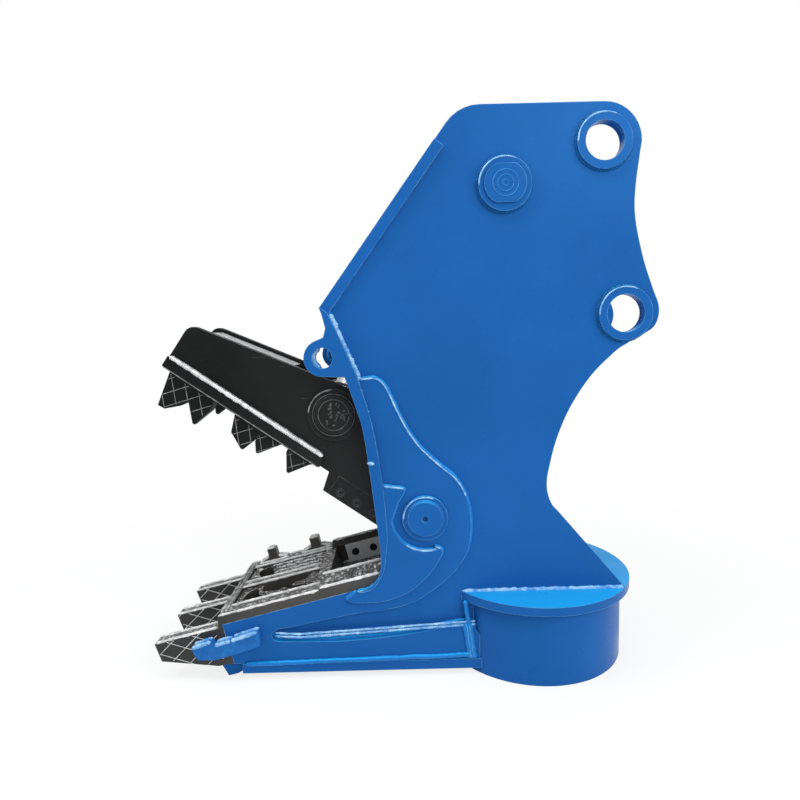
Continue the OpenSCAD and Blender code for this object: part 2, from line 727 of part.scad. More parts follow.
module cable_gland() {
    z = -flange_drop - (stand_drop - flange_drop) * gland_height_share;
    color(charcoal) difference() {
        translate([drum_x, 0, z]) rotate([0, 90, gland_turn])
            cylinder(r = gland_r, h = drum_r + gland_l);
        upright(drum_r, -stand_drop, -flange_drop);
        translate([drum_x, 0, z]) rotate([0, 90, gland_turn])
            cylinder(r = gland_r / 2, h = drum_r + gland_l + over);
    }
}

// Upper jaw plates: two hubs joined by tangents, and the box that carries the teeth
back_taper = 11.8;
jaw_corner_r = 30;
back_touch = [rod_pin_reach + jaw_back_r * sin(back_taper),
    rod_pin_rise + jaw_back_r * cos(back_taper)];
function back_h(a) = back_touch.y - (a - back_touch.x) * tan(back_taper);
rear_shares = [0.327, 0.345];
span = norm(rod_centre - pivot);
tie_turn = acos((hub_r - jaw_back_r) / span);
tie_dir = atan2((rod_centre - pivot).y, (rod_centre - pivot).x);
jaw_outline = concat(
    [up(jaw_reach * rear_shares[0], -hub_r),
        up(jaw_reach * rear_shares[1], -tooth_line), up(jaw_reach, -tooth_line)],
    fillet(up(jaw_reach, 0), up(jaw_reach, back_h(jaw_reach)), up(back_touch.x, back_touch.y),
        jaw_corner_r),
    arc(rod_centre, jaw_back_r, 90 - jaw_rest_angle + back_taper, tie_dir - tie_turn),
    arc(pivot, hub_r, tie_dir - tie_turn, -90 - jaw_rest_angle));
blade_shares = [0.112, 0.308];
jaw_bolt_shares = [0.143, 0.208, 0.273];
module blade_outline() {
    polygon([up(jaw_reach * blade_shares[0], -hub_r), up(jaw_reach * blade_shares[1], -hub_r),
        up(jaw_reach * blade_shares[1], -hub_r + blade_h),
        up(jaw_reach * blade_shares[0], -hub_r + blade_h)]);
}
module jaw_plate(s) {
    color(charcoal) difference() {
        side_slab(s, jaw_inner_y, jaw_y) difference() {
            polygon(jaw_outline);
            disc(pivot, pivot_bush_d / 2);
            disc(rod_centre, rod_pin_d / 2 + fit);
        }
        side_slab(s, jaw_y - blade_t, jaw_y + over) blade_outline();
    }
}
module jaw_hub() {
    color(charcoal) slab(-jaw_inner_y, jaw_inner_y) difference() {
        disc(pivot, hub_r - blade_t);
        disc(pivot, pivot_bush_d / 2);
    }
}
bush_gap_share = 0.3;
module jaw_bushes() {
    color("#b08d57") ring_pair(pivot, pivot_bush_d / 2, pivot_pin_d / 2 + fit,
        jaw_inner_y * bush_gap_share, jaw_y);
}
top_sink = 12;
jaw_box_shares = [0.655, 0.985];
module jaw_top_plate() {
    a = jaw_reach * jaw_box_shares;
    color(charcoal) slab(-jaw_inner_y, jaw_inner_y) polygon([
        up(a[0], back_h(a[0]) - top_sink), up(a[1] - web_t, back_h(a[1] - web_t) - top_sink),
        up(a[1], back_h(a[1]) - top_sink - web_t),
        up(a[1], -tooth_line), up(a[1] - web_t, -tooth_line),
        up(a[1] - web_t, back_h(a[1] - web_t) - top_sink - web_t),
        up(a[0], back_h(a[0]) - top_sink - web_t)]);
}
floor_shares = [0.1, 0.312, 0.352];
module jaw_floor_plate() {
    a = jaw_reach * floor_shares;
    end = jaw_reach * jaw_box_shares[1] - web_t;
    color(charcoal) slab(-jaw_inner_y, jaw_inner_y) polygon([
        up(a[0], -hub_r), up(jaw_reach * rear_shares[0], -hub_r),
        up(jaw_reach * rear_shares[1], -tooth_line), up(end, -tooth_line),
        up(end, -tooth_line + web_t), up(a[1] + web_t, -tooth_line + web_t),
        up(a[1], -hub_r + web_t), up(a[0], -hub_r + web_t)]);
}
rail_shares = [0.381, 0.998];
module jaw_rails() {
    a = jaw_reach * rail_shares;
    color(charcoal) for (s = [-1, 1]) side_slab(s, jaw_y, jaw_y + rail_t)
        polygon([up(a[0], -tooth_line), up(a[1], -tooth_line),
            up(a[1], -tooth_line + rail_h), up(a[0] + rail_h / 4, -tooth_line + rail_h)]);
}
bar_span_shares = [0.405, 0.972];
module tooth_bars() {
    a = jaw_reach * bar_span_shares;
    h = -tooth_line - tooth_bar_t;
    color(charcoal) for (s = [-1, 1]) side_slab(s, jaw_y - tooth_w, jaw_y)
        polygon([up(a[0], h), up(a[1], h), up(a[1], -tooth_line - seat_gap),
            up(a[0], -tooth_line - seat_gap)]);
}
// Each tooth is a list of [share of the jaw's reach, share of the tooth height]
teeth_shares = [
    [[0.972, 0], [0.951, 1.0], [0.925, 0.985], [0.885, 0.66], [0.868, 0.44],
        [0.821, 0.9], [0.812, 0.9], [0.791, 0.33], [0.797, 0]],
    [[0.716, 0], [0.695, 0.5], [0.638, 0.76], [0.63, 0.74], [0.613, 0.33], [0.612, 0]],
    [[0.611, 0], [0.6105, 0.34], [0.588, 0.61], [0.58, 0.6], [0.53, 0]],
    [[0.504, 0], [0.503, 0.1], [0.465, 0.6], [0.457, 0.6], [0.414, 0.06], [0.406, 0]],
];
tip_w_share = 0.5;
module teeth(s) {
    root = -tooth_line - tooth_bar_t;
    mid_y = s * (jaw_y - tooth_w / 2);
    color(charcoal) for (t = teeth_shares) intersection() {
        side_slab(s, jaw_y - tooth_w, jaw_y)
            polygon([for (p = t) up(jaw_reach * p[0], root - tooth_h * p[1])]);
        translate([pivot.x, mid_y, pivot.y]) rotate([0, jaw_rest_angle, 0])
            translate([0, 0, root]) rotate([0, -90, 0]) linear_extrude(jaw_reach)
            polygon([[0, -tooth_w / 2], [0, tooth_w / 2],
                [-tooth_h, tooth_w / 2 * tip_w_share], [-tooth_h, -tooth_w / 2 * tip_w_share]]);
    }
}

// Rod pin and its caps
rod_boss_y = jaw_y + rod_boss_proud;
rod_cap_t = 5;
module rod_pin() {
    color(steel) slab(-rod_boss_y, rod_boss_y) disc(rod_centre, rod_pin_d / 2);
}
module rod_pin_bosses() {
    color(charcoal)
        ring_pair(rod_centre, rod_boss_d / 2, rod_pin_d / 2 + fit, jaw_y, rod_boss_y);
}
cap_d_share = 0.74;
module rod_pin_caps() {
    r = rod_boss_d / 2 * cap_d_share;
    color(charcoal) for (s = [-1, 1]) side_slab(s, rod_boss_y, rod_boss_y + rod_cap_t)
        disc(rod_centre, r);
}
module jaw_blades() {
    color(steel) for (s = [-1, 1]) side_slab(s, jaw_y - blade_t, jaw_y) difference() {
        blade_outline();
        for (p = jaw_bolt_shares) disc(up(jaw_reach * p, -hub_r + blade_h * 0.35),
            blade_bolt_d / 2 + fit);
    }
}
module jaw_blade_bolts() {
    color(charcoal) for (s = [-1, 1]) for (p = jaw_bolt_shares)
        side_slab(s, jaw_y - blade_t, jaw_y - bolt_sink)
            disc(up(jaw_reach * p, -hub_r + blade_h * 0.35), blade_bolt_d / 2);
}

// Hydraulic cylinder, laid along the line from the base pin to the rod pin
cyl = rod_centre - base_centre;
cyl_len = norm(cyl);
cyl_turn = atan2(cyl.x, cyl.y);
module along(t) {
    translate([base_centre.x, 0, base_centre.y]) rotate([0, cyl_turn, 0])
        translate([0, 0, t]) children();
}
eye_inset = 5;
eye_y = barrel_bore_d / 2 - eye_inset;
cap_l = 110;
head_l = 46;
plug_l = 60;
rod_neck_l = 95;
rod_show = 42;
head_end = cyl_len - rod_neck_l - rod_show;
tube_end = head_end - head_l;
piston_l = 80;
piston_room = 2;
module cylinder_barrel() {
    color(paint) difference() {
        union() {
            slab(-eye_y, eye_y) disc(base_centre, rod_eye_d / 2);
            along(0) cylinder(r = barrel_d / 2, h = tube_end);
        }
        along(cap_l) cylinder(r = barrel_bore_d / 2, h = cyl_len);
        slab(-barrel_d, barrel_d) disc(base_centre, base_pin_d / 2 + fit);
        for (s = [-1, 1]) side_slab(s, eye_y, barrel_d) disc(base_centre, rod_eye_d / 2);
    }
}
module cylinder_head() {
    color(paint) difference() {
        union() {
            along(tube_end) cylinder(r = head_d / 2, h = head_l);
            along(tube_end - plug_l) cylinder(r = barrel_bore_d / 2, h = plug_l + over);
        }
        along(0) cylinder(r = rod_d / 2 + fit, h = cyl_len);
    }
}
port_shares = [0.13, 0.86];
port_r = 20;
port_h = 24;
module port_blocks() {
    color(paint) for (p = port_shares) difference() {
        along(tube_end * p + port_r) rotate([0, -90, 0])
            cylinder(r = port_r, h = barrel_d / 2 + port_h);
        along(0) cylinder(r = barrel_d / 2, h = cyl_len);
        along(tube_end * p + port_r) rotate([0, -90, 0])
            cylinder(r = port_r / 2, h = barrel_d / 2 + port_h + over);
    }
}
module piston() {
    color(steel) difference() {
        along(cap_l + piston_room) cylinder(r = barrel_bore_d / 2 - fit, h = piston_l);
        along(cap_l) cylinder(r = rod_d * 3 / 8, h = piston_l + piston_room + over);
    }
}
module piston_rod() {
    shoulder = cap_l + piston_room + piston_l;
    color("silver") {
        along(cap_l + piston_room) cylinder(r = rod_d * 3 / 8, h = piston_l);
        along(shoulder) cylinder(r = rod_d / 2, h = cyl_len - rod_neck_l - shoulder);
    }
}
rod_eye_y_share = 0.6;
module rod_eye() {
    half = jaw_inner_y * rod_eye_y_share;
    color(steel) difference() {
        union() {
            slab(-half, half) disc(rod_centre, rod_eye_d / 2);
            along(cyl_len - rod_neck_l) cylinder(r = rod_d * 3 / 5, h = rod_neck_l);
        }
        slab(-jaw_y, jaw_y) disc(rod_centre, rod_pin_d / 2 + rod_pin_room);
    }
}

side_plate(-1);  // side_plate_near
side_plate(1);  // side_plate_far
cheek_plate(-1);  // cheek_plate_near
cheek_plate(1);  // cheek_plate_far
throat_plate(-1);  // throat_plate_near
throat_plate(1);  // throat_plate_far
edge_strip(-1);  // edge_strip_near
edge_strip(1);  // edge_strip_far
front_cover();
top_cover();
bay_web();
back_plate();
hub_guard();
mount_bosses();
base_pin_bosses();
base_pin();
pivot_pin();
pivot_collars();
thrust_washers();
bottom_plate();
nose_plate();
floor_web();
guard_hooks();
rib_near();
rib_middle();
rib_far();
front_bar();
grid_links();
grid_plate();
throat_block();
lower_blades();
lower_blade_bolts();
magnet_flange();
magnet_housing();
magnet_core();
magnet_coil();
magnet_face_plate();
cable_gland();
jaw_plate(-1);  // jaw_plate_near
jaw_plate(1);  // jaw_plate_far
jaw_hub();
jaw_bushes();
jaw_top_plate();
jaw_floor_plate();
jaw_rails();
tooth_bars();
teeth(-1);  // teeth_near
teeth(1);  // teeth_far
rod_pin();
rod_pin_bosses();
rod_pin_caps();
jaw_blades();
jaw_blade_bolts();
cylinder_barrel();
cylinder_head();
port_blocks();
piston();
piston_rod();
rod_eye();
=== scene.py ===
"""Looks for the demolition crusher: paint, weld seams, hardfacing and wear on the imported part."""

import json
import math
import random

import bmesh
import bpy
from mathutils import Matrix, Vector, noise


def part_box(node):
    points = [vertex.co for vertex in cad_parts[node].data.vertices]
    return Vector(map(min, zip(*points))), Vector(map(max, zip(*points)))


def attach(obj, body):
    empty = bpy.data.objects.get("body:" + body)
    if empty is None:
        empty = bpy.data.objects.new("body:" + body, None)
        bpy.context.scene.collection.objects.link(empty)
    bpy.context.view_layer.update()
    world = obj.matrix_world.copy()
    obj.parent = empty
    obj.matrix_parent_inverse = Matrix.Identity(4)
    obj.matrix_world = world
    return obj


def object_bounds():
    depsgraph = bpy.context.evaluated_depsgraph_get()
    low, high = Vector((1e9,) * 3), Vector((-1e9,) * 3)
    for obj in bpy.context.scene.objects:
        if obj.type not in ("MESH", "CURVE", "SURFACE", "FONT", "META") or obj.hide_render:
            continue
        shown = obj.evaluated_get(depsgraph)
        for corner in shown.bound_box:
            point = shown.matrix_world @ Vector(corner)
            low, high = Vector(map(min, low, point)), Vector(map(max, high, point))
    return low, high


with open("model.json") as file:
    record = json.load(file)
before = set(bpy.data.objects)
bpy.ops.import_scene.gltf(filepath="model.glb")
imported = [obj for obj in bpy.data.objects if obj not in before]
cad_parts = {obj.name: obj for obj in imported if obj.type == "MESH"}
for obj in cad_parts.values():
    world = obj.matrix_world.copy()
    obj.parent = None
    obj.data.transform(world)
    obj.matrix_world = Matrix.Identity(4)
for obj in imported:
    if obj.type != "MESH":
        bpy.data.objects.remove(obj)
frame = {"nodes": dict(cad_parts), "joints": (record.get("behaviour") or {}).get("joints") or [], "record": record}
cad_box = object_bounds()
NODES = frame["nodes"]
JOINTS = {joint["name"]: joint for joint in frame["joints"]}


def outer_y(node):
    """How far from the middle plane a node's far side is."""
    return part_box(node)[1].y


def half_width(node):
    """Half of a node's width along X, which is the radius of a round one."""
    start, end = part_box(node)
    return (end.x - start.x) / 2


def sloped(degrees):
    """The directions along a jaw that rises to the front, and square to it."""
    angle = math.radians(degrees)
    ahead = Vector((-math.cos(angle), 0, math.sin(angle)))
    return ahead, Vector((math.sin(angle), 0, math.cos(angle)))


# Places that the looks hang on, in metres and degrees in the part's frame
SIDES = {"near": -1, "far": 1}
PIVOT = Vector(JOINTS["jaw_hinge"]["pos_m"])
BASE_PIN = Vector(JOINTS["barrel_swing"]["pos_m"])
JAW_SLOPE = 35.2
LOW_SLOPE = -13.5
JAW_AHEAD, JAW_UP = sloped(JAW_SLOPE)
LOW_AHEAD, LOW_UP = sloped(LOW_SLOPE)
SIDE_Y = outer_y("side_plate_far")
CHEEK_Y = outer_y("cheek_plate_far")
THROAT_Y = outer_y("throat_plate_far")
STRIP_Y = outer_y("edge_strip_far")
JAW_Y = outer_y("jaw_plate_far")
RAIL_Y = outer_y("jaw_rails")
BOTTOM_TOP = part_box("bottom_plate")[1].z
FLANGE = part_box("magnet_flange")
FLANGE_R = half_width("magnet_flange")
DRUM_R = half_width("magnet_housing")
DRUM_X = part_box("magnet_housing")[0].x + DRUM_R


def new_object(name, data):
    """An object in the scene."""
    obj = bpy.data.objects.new(name, data)
    bpy.context.scene.collection.objects.link(obj)
    return obj


# Camera, at the photograph's angle, for an 800 x 800 frame
CAMERA_AT = Vector((-0.5540, -1.7626, -0.4971))
CAMERA_PITCH = math.radians(6.36)
CAMERA_ROLL = math.radians(1.40)
FOCAL_PX = 575.5
FRAME_PX = 800
SENSOR_MM = 36.0
CLIP_END = 50


def build_camera():
    """A camera that looks along Y, down by its pitch and round by its roll."""
    cp, sp = math.cos(CAMERA_PITCH), math.sin(CAMERA_PITCH)
    cr, sr = math.cos(CAMERA_ROLL), math.sin(CAMERA_ROLL)
    level_right, level_up = Vector((1, 0, 0)), Vector((0, sp, cp))
    forward = Vector((0, cp, -sp))
    right = cr * level_right - sr * level_up
    upward = sr * level_right + cr * level_up
    data = bpy.data.cameras.new("camera")
    data.sensor_width = SENSOR_MM
    data.lens = FOCAL_PX / FRAME_PX * SENSOR_MM
    data.clip_end = CLIP_END
    camera = new_object("camera", data)
    turn = Matrix((right, upward, -forward)).transposed().to_4x4()
    camera.matrix_world = Matrix.Translation(CAMERA_AT) @ turn
    bpy.context.scene.camera = camera


# Node trees
BEVEL_SAMPLES = 6
CRACK_PUSH = (0.02, 0.02, 0.02)
CRACK_SPAN = (0.02, 0.14)


class Shader:
    """A shorthand for node trees in object coordinates."""

    def __init__(self, owner, output="ShaderNodeOutputMaterial"):
        owner.use_nodes = True
        self.nodes = owner.node_tree.nodes
        self.links = owner.node_tree.links
        self.nodes.clear()
        self.output = self.add(output)
        self.place = self.add("ShaderNodeTexCoord").outputs["Object"]
        self.rounded = None

    def add(self, kind, **settings):
        """A node with its settings."""
        node = self.nodes.new(kind)
        for key, value in settings.items():
            setattr(node, key, value)
        return node

    def link(self, source, socket):
        """A link into an input."""
        self.links.new(source, socket)

    def feed(self, socket, value):
        """A link into an input, or the input's own value, with alpha 1 for a colour."""
        if isinstance(value, bpy.types.NodeSocket):
            self.link(value, socket)
        elif socket.type == "RGBA":
            socket.default_value = (*value, 1)
        else:
            socket.default_value = value

    def fed(self, kind, **sockets):
        """A node with its inputs fed by name, with _ for a space."""
        node = self.add(kind)
        for name, value in sockets.items():
            self.feed(node.inputs[name.replace("_", " ")], value)
        return node

    def math(self, operation, a, b):
        """Two values put together."""
        node = self.add("ShaderNodeMath", operation=operation)
        self.feed(node.inputs[0], a)
        self.feed(node.inputs[1], b)
        return node.outputs[0]

    def ramp(self, value, span, to=(0.0, 1.0)):
        """A value stretched from one span to another and held at its ends."""
        node = self.fed("ShaderNodeMapRange", Value=value, From_Min=span[0], From_Max=span[1],
                        To_Min=to[0], To_Max=to[1])
        return node.outputs[0]

    def noise(self, scale, detail=4, rough=0.55, squeeze=(1, 1, 1)):
        """Soft noise that stays with the part, squeezed along its axes."""
        place = self.fed("ShaderNodeMapping", Vector=self.place, Scale=squeeze).outputs[0]
        node = self.fed("ShaderNodeTexNoise", Vector=place, Scale=scale, Detail=detail,
                        Roughness=rough)
        return node.outputs["Fac"]

    def blots(self, span, to=(0.0, 1.0), **values):
        """Noise whose middle span is stretched into patches."""
        return self.ramp(self.noise(**values), span, to)

    def mix(self, share, a, b):
        """A colour between two others."""
        node = self.add("ShaderNodeMix", data_type="RGBA")
        self.feed(node.inputs["Factor"], share)
        self.feed(node.inputs["A"], a)
        self.feed(node.inputs["B"], b)
        return node.outputs["Result"]

    def seen(self):
        """1 where the camera looks, straight or through a reflection or glass."""
        path = self.add("ShaderNodeLightPath").outputs
        mirrored = self.math("MAXIMUM", path["Is Glossy Ray"], path["Is Transmission Ray"])
        return self.math("MAXIMUM", path["Is Camera Ray"], mirrored)

    def edges(self, radius, gain):
        """About 1 on the part's edges and 0 on its flats, from the rounded normal."""
        bevel = self.add("ShaderNodeBevel", samples=BEVEL_SAMPLES)
        bevel.inputs["Radius"].default_value = radius
        self.rounded = bevel.outputs[0]
        dot = self.add("ShaderNodeVectorMath", operation="DOT_PRODUCT")
        self.link(self.rounded, dot.inputs[0])
        self.link(self.add("ShaderNodeNewGeometry").outputs["Normal"], dot.inputs[1])
        away = self.math("SUBTRACT", 1.0, dot.outputs["Value"])
        return self.ramp(away, (0.0, 1.0 / gain))

    def cracks(self, scale):
        """0 in the cracks between irregular patches and 1 on the patches."""
        push = self.fed("ShaderNodeTexNoise", Vector=self.place, Scale=scale)
        ragged = self.add("ShaderNodeVectorMath", operation="MULTIPLY_ADD")
        self.link(push.outputs["Color"], ragged.inputs[0])
        ragged.inputs[1].default_value = CRACK_PUSH
        self.link(self.place, ragged.inputs[2])
        cells = self.add("ShaderNodeTexVoronoi", feature="DISTANCE_TO_EDGE")
        cells.inputs["Scale"].default_value = scale
        self.link(ragged.outputs[0], cells.inputs["Vector"])
        return self.ramp(cells.outputs["Distance"], CRACK_SPAN)

    def along_x(self, span):
        """From 0 to 1 between two places along X."""
        place = self.fed("ShaderNodeSeparateXYZ", Vector=self.place).outputs["X"]
        return self.ramp(place, span)

    def facing_up(self):
        """1 on faces that look up and 0 on plumb ones."""
        normal = self.add("ShaderNodeNewGeometry").outputs["Normal"]
        return self.fed("ShaderNodeSeparateXYZ", Vector=normal).outputs["Z"]

    def bump(self, height, strength, distance):
        """A relief over the rounded normal, where there is one."""
        node = self.fed("ShaderNodeBump", Height=height, Strength=strength, Distance=distance)
        if self.rounded:
            self.link(self.rounded, node.inputs["Normal"])
        return node.outputs[0]

    def surface(self, colour, rough, normal, **sockets):
        """The surface that the tree ends in."""
        bsdf = self.fed("ShaderNodeBsdfPrincipled", Base_Color=colour, Roughness=rough,
                        Normal=normal, **sockets)
        self.link(bsdf.outputs[0], self.output.inputs["Surface"])

    def blend(self, share, a, b):
        """Two shaders that the tree ends in, the first at 0 and the second at 1."""
        node = self.add("ShaderNodeMixShader")
        self.link(share, node.inputs["Fac"])
        self.link(a.outputs[0], node.inputs[1])
        self.link(b.outputs[0], node.inputs[2])
        self.link(node.outputs[0], self.output.inputs["Surface"])


def new_material(name):
    """A material and its empty tree."""
    material = bpy.data.materials.new(name)
    return material, Shader(material)


def grey(tone):
    """A neutral colour."""
    return (tone, tone, tone)


def shade(colour, factor):
    """A lighter or darker tone of a colour."""
    return tuple(factor * channel for channel in colour)


# Light, in metres and watts
MIDDLE = (-0.55, 0, -0.7)
SOFTBOXES = {
    "top_softbox": dict(at=(-0.5, -0.5, 2.6), aim=MIDDLE, size=(3.0, 2.6), watts=80),
    "front_softbox": dict(at=(1.5, -3.8, 1.8), aim=MIDDLE, size=(2.2, 1.8), watts=76),
    "left_softbox": dict(at=(-2.6, -0.7, 1.5), aim=(-0.9, 0, -1.2), size=(1.2, 1.2), watts=42),
    "right_softbox": dict(at=(3.2, -2.2, 0.8), aim=MIDDLE, size=(1.4, 2.6), watts=62),
}
FILL_COLOUR = (0.93, 0.96, 1.0)
FILL_STRENGTH = 0.44
WHITE_STRENGTH = 1.0


def area_light(name, at, aim, size, watts):
    """A softbox turned to the place that it lights."""
    data = bpy.data.lights.new(name, "AREA")
    data.shape = "RECTANGLE"
    data.size, data.size_y = size
    data.energy = watts
    light = new_object(name, data)
    light.location = at
    light.rotation_euler = (Vector(aim) - Vector(at)).to_track_quat("-Z", "Y").to_euler()


def build_light():
    """The softboxes, and a world that fills the shadows and looks white."""
    for name, values in SOFTBOXES.items():
        area_light(name, **values)
    world = bpy.data.worlds.new("studio")
    tree = Shader(world, "ShaderNodeOutputWorld")
    fill = tree.fed("ShaderNodeBackground", Color=FILL_COLOUR, Strength=FILL_STRENGTH)
    white = tree.fed("ShaderNodeBackground", Color=grey(1.0), Strength=WHITE_STRENGTH)
    tree.blend(tree.seen(), fill, white)
    bpy.context.scene.world = world
    bpy.context.scene.view_settings.view_transform = "Standard"


# Floor, in metres: paper that pales into white away from the foot
FLOOR_X = -0.5
FLOOR_HALF = 14
FLOOR_PARTS = 8
FLOOR_GAP = 0.0005
PAPER_TONE = 0.84
PALING_REACH = (0.8, 2.2)
WHITE_SHARE = (0.80, 1.0)


def floor_material():
    """Paper that keeps the object's shadow, and white further out."""
    material, tree = new_material("floor")
    paper = tree.fed("ShaderNodeBsdfDiffuse", Color=grey(PAPER_TONE))
    white = tree.add("ShaderNodeEmission")
    away = tree.add("ShaderNodeVectorMath", operation="LENGTH")
    tree.link(tree.place, away.inputs[0])
    paling = tree.ramp(away.outputs["Value"], PALING_REACH, WHITE_SHARE)
    tree.blend(tree.math("MULTIPLY", tree.seen(), paling), paper, white)
    return material


def build_floor():
    """The floor just under the foot."""
    bm = bmesh.new()
    bmesh.ops.create_grid(bm, x_segments=FLOOR_PARTS, y_segments=FLOOR_PARTS, size=FLOOR_HALF)
    mesh = bpy.data.meshes.new("floor")
    bm.to_mesh(mesh)
    bm.free()
    mesh.materials.append(floor_material())
    floor = new_object("floor", mesh)
    floor.location = (FLOOR_X, 0, cad_box[0][2] - FLOOR_GAP)


# Colours that the materials share
BLUE = (0.0110, 0.094, 0.322)
# The next two are painted highlights: a pale blue for edges and a brighter blue for faces that look up
EDGE_HIGHLIGHT_BLUE = (0.16, 0.46, 0.78)
TOP_HIGHLIGHT_BLUE = (0.012, 0.340, 0.740)
SHEEN_BLUE = (0.22, 0.66, 1.0)
PAINT_GLOSS = 0.13

# Where tones change: along X in metres, and in the noise that stands for weld drops
JAW_TONES_X = (-1.05, -0.62)
NOSE_TONES_X = (-1.10, -1.00)
DROP_SPAN = (0.46, 0.58)


def enamel(name, base, worn, edge_r=0.003, gloss=PAINT_GLOSS):
    """Thick sprayed paint: soft patches, orange peel, and painted highlights: a pale colour on edges, broken into
    patches, and a brighter blue on top faces.
    """
    material, tree = new_material(name)
    patches = tree.blots(span=(0.35, 0.70), scale=3.2, detail=5)
    specks = tree.blots(span=(0.62, 0.72), to=(0.0, 0.35), scale=70, detail=3)
    breaks = tree.blots(span=(0.38, 0.60), to=(0.35, 1.0), scale=24)
    top_highlight = tree.ramp(tree.facing_up(), span=(0.5, 0.95), to=(0.0, 0.85))
    colour = tree.mix(patches, base, shade(base, 1.16))
    colour = tree.mix(specks, colour, shade(base, 0.86))
    # painted highlight: the pale colour along edges, broken up by noise
    wear_and_highlight_share = tree.math("MULTIPLY", tree.edges(radius=edge_r, gain=6), breaks)
    colour = tree.mix(wear_and_highlight_share, colour, worn)
    # painted highlight: faces that look up turn a brighter blue
    colour = tree.mix(top_highlight, colour, TOP_HIGHLIGHT_BLUE)
    rough = tree.blots(span=(0.3, 0.7), to=(0.24, 0.40), scale=9)
    peel = tree.noise(scale=420, detail=2, rough=0.5)
    normal = tree.bump(peel, strength=0.10, distance=0.0004)
    tree.surface(colour, rough, normal, Specular_IOR_Level=gloss, Specular_Tint=SHEEN_BLUE)
    return material


def satin_paint(name, base, rear, worn):
    """Satin paint over steel, scuffed to grey metal along edges and in scratches."""
    material, tree = new_material(name)
    patches = tree.blots(span=(0.40, 0.62), scale=16, detail=6, rough=0.65)
    rubs = tree.blots(span=(0.36, 0.62), to=(0.1, 0.6), scale=45, detail=5)
    lines = tree.blots(span=(0.63, 0.70), to=(0.0, 0.5), scale=9, detail=6, rough=0.7,
                       squeeze=(1, 1, 14))
    wear_and_highlight_share = tree.math("MULTIPLY", tree.edges(radius=0.004, gain=4), rubs)
    share = tree.math("MAXIMUM", wear_and_highlight_share, tree.math("MULTIPLY", lines, patches))
    colour = tree.mix(patches, base, shade(base, 1.5))
    colour = tree.mix(tree.along_x(JAW_TONES_X), colour, rear)
    colour = tree.mix(share, colour, worn)
    rough = tree.blots(span=(0.3, 0.7), to=(0.42, 0.60), scale=30)
    grain = tree.noise(scale=140, detail=5, rough=0.6)
    normal = tree.bump(grain, strength=0.25, distance=0.0008)
    metal = tree.ramp(share, span=(0.0, 1.0), to=(0.0, 0.8))
    tree.surface(colour, rough, normal, Metallic=metal, Specular_IOR_Level=PAINT_GLOSS)
    return material


def mottled(name, dark, pale, scale, grain, metal, gloss=0.5):
    """A rough face of two tones, such as ground or cast steel, weld metal or thick paint."""
    material, tree = new_material(name)
    cloud = tree.blots(span=(0.34, 0.66), scale=scale * 0.35, detail=6, rough=0.65)
    fine = tree.blots(span=(0.35, 0.65), scale=scale * 2.4, rough=0.6)
    share = tree.math("MULTIPLY", cloud, tree.ramp(fine, span=(0.0, 1.0), to=(0.45, 1.0)))
    edge = tree.ramp(tree.edges(radius=0.003, gain=4), span=(0.0, 1.0), to=(0.0, 0.8))
    colour = tree.mix(tree.math("MAXIMUM", share, edge), dark, pale)
    rough = tree.ramp(fine, span=(0.0, 1.0), to=(0.38, 0.6))
    pits = tree.noise(scale=scale * 2.0, detail=6, rough=0.65)
    normal = tree.bump(pits, strength=grain, distance=0.0015)
    tree.surface(colour, rough, normal, Metallic=metal, Specular_IOR_Level=gloss)
    return material


def weld_build_up(tree, cells, pale, scale):
    """The colour of a hardfaced top: pale drops, grey pits and black cracks."""
    pits = tree.blots(span=(0.46, 0.56), to=(0.0, 0.70), scale=scale * 2.0, detail=3, rough=0.6)
    colour = tree.mix(tree.ramp(cells, DROP_SPAN), grey(0.035), pale)
    colour = tree.mix(pits, colour, grey(0.06))
    return tree.mix(tree.cracks(scale * 0.5), grey(0.015), colour)


def hardfaced(name, side, nose, pale, scale):
    """A casting with smooth dark sides and weld-built, speckled faces on top."""
    material, tree = new_material(name)
    top = tree.ramp(tree.facing_up(), span=(0.45, 0.75))
    cells = tree.noise(scale=scale, detail=5, rough=0.7)
    smudge = tree.blots(span=(0.35, 0.68), scale=11, detail=5, rough=0.6)
    rubs = tree.blots(span=(0.42, 0.62), to=(0.05, 0.75), scale=60)
    flank = tree.mix(smudge, shade(side, 0.62), side)
    flank = tree.mix(tree.along_x(NOSE_TONES_X), nose, flank)
    flank = tree.mix(tree.math("MULTIPLY", tree.edges(radius=0.0025, gain=5), rubs), flank, pale)
    colour = tree.mix(top, flank, weld_build_up(tree, cells, pale, scale))
    rough = tree.ramp(cells, span=(0.3, 0.7), to=(0.36, 0.62))
    height = tree.math("MULTIPLY", cells, tree.ramp(top, span=(0.0, 1.0), to=(0.12, 1.0)))
    normal = tree.bump(height, strength=0.9, distance=0.0035)
    metal = tree.math("MULTIPLY", top, tree.ramp(cells, DROP_SPAN, to=(0.0, 0.5)))
    tree.surface(colour, rough, normal, Metallic=metal)
    return material


def smooth(name, base, rough, metal):
    """Machined metal or plain plastic with fine turning marks."""
    material, tree = new_material(name)
    tone = tree.blots(span=(0.3, 0.7), scale=40, detail=3, rough=0.5, squeeze=(1, 8, 1))
    colour = tree.mix(tone, shade(base, 0.85), base)
    roughness = tree.blots(span=(0.3, 0.7), to=(rough * 0.8, rough * 1.25), scale=120, detail=3)
    normal = tree.bump(tree.noise(scale=300, detail=2), strength=0.05, distance=0.0004)
    tree.surface(colour, roughness, normal, Metallic=metal)
    return material


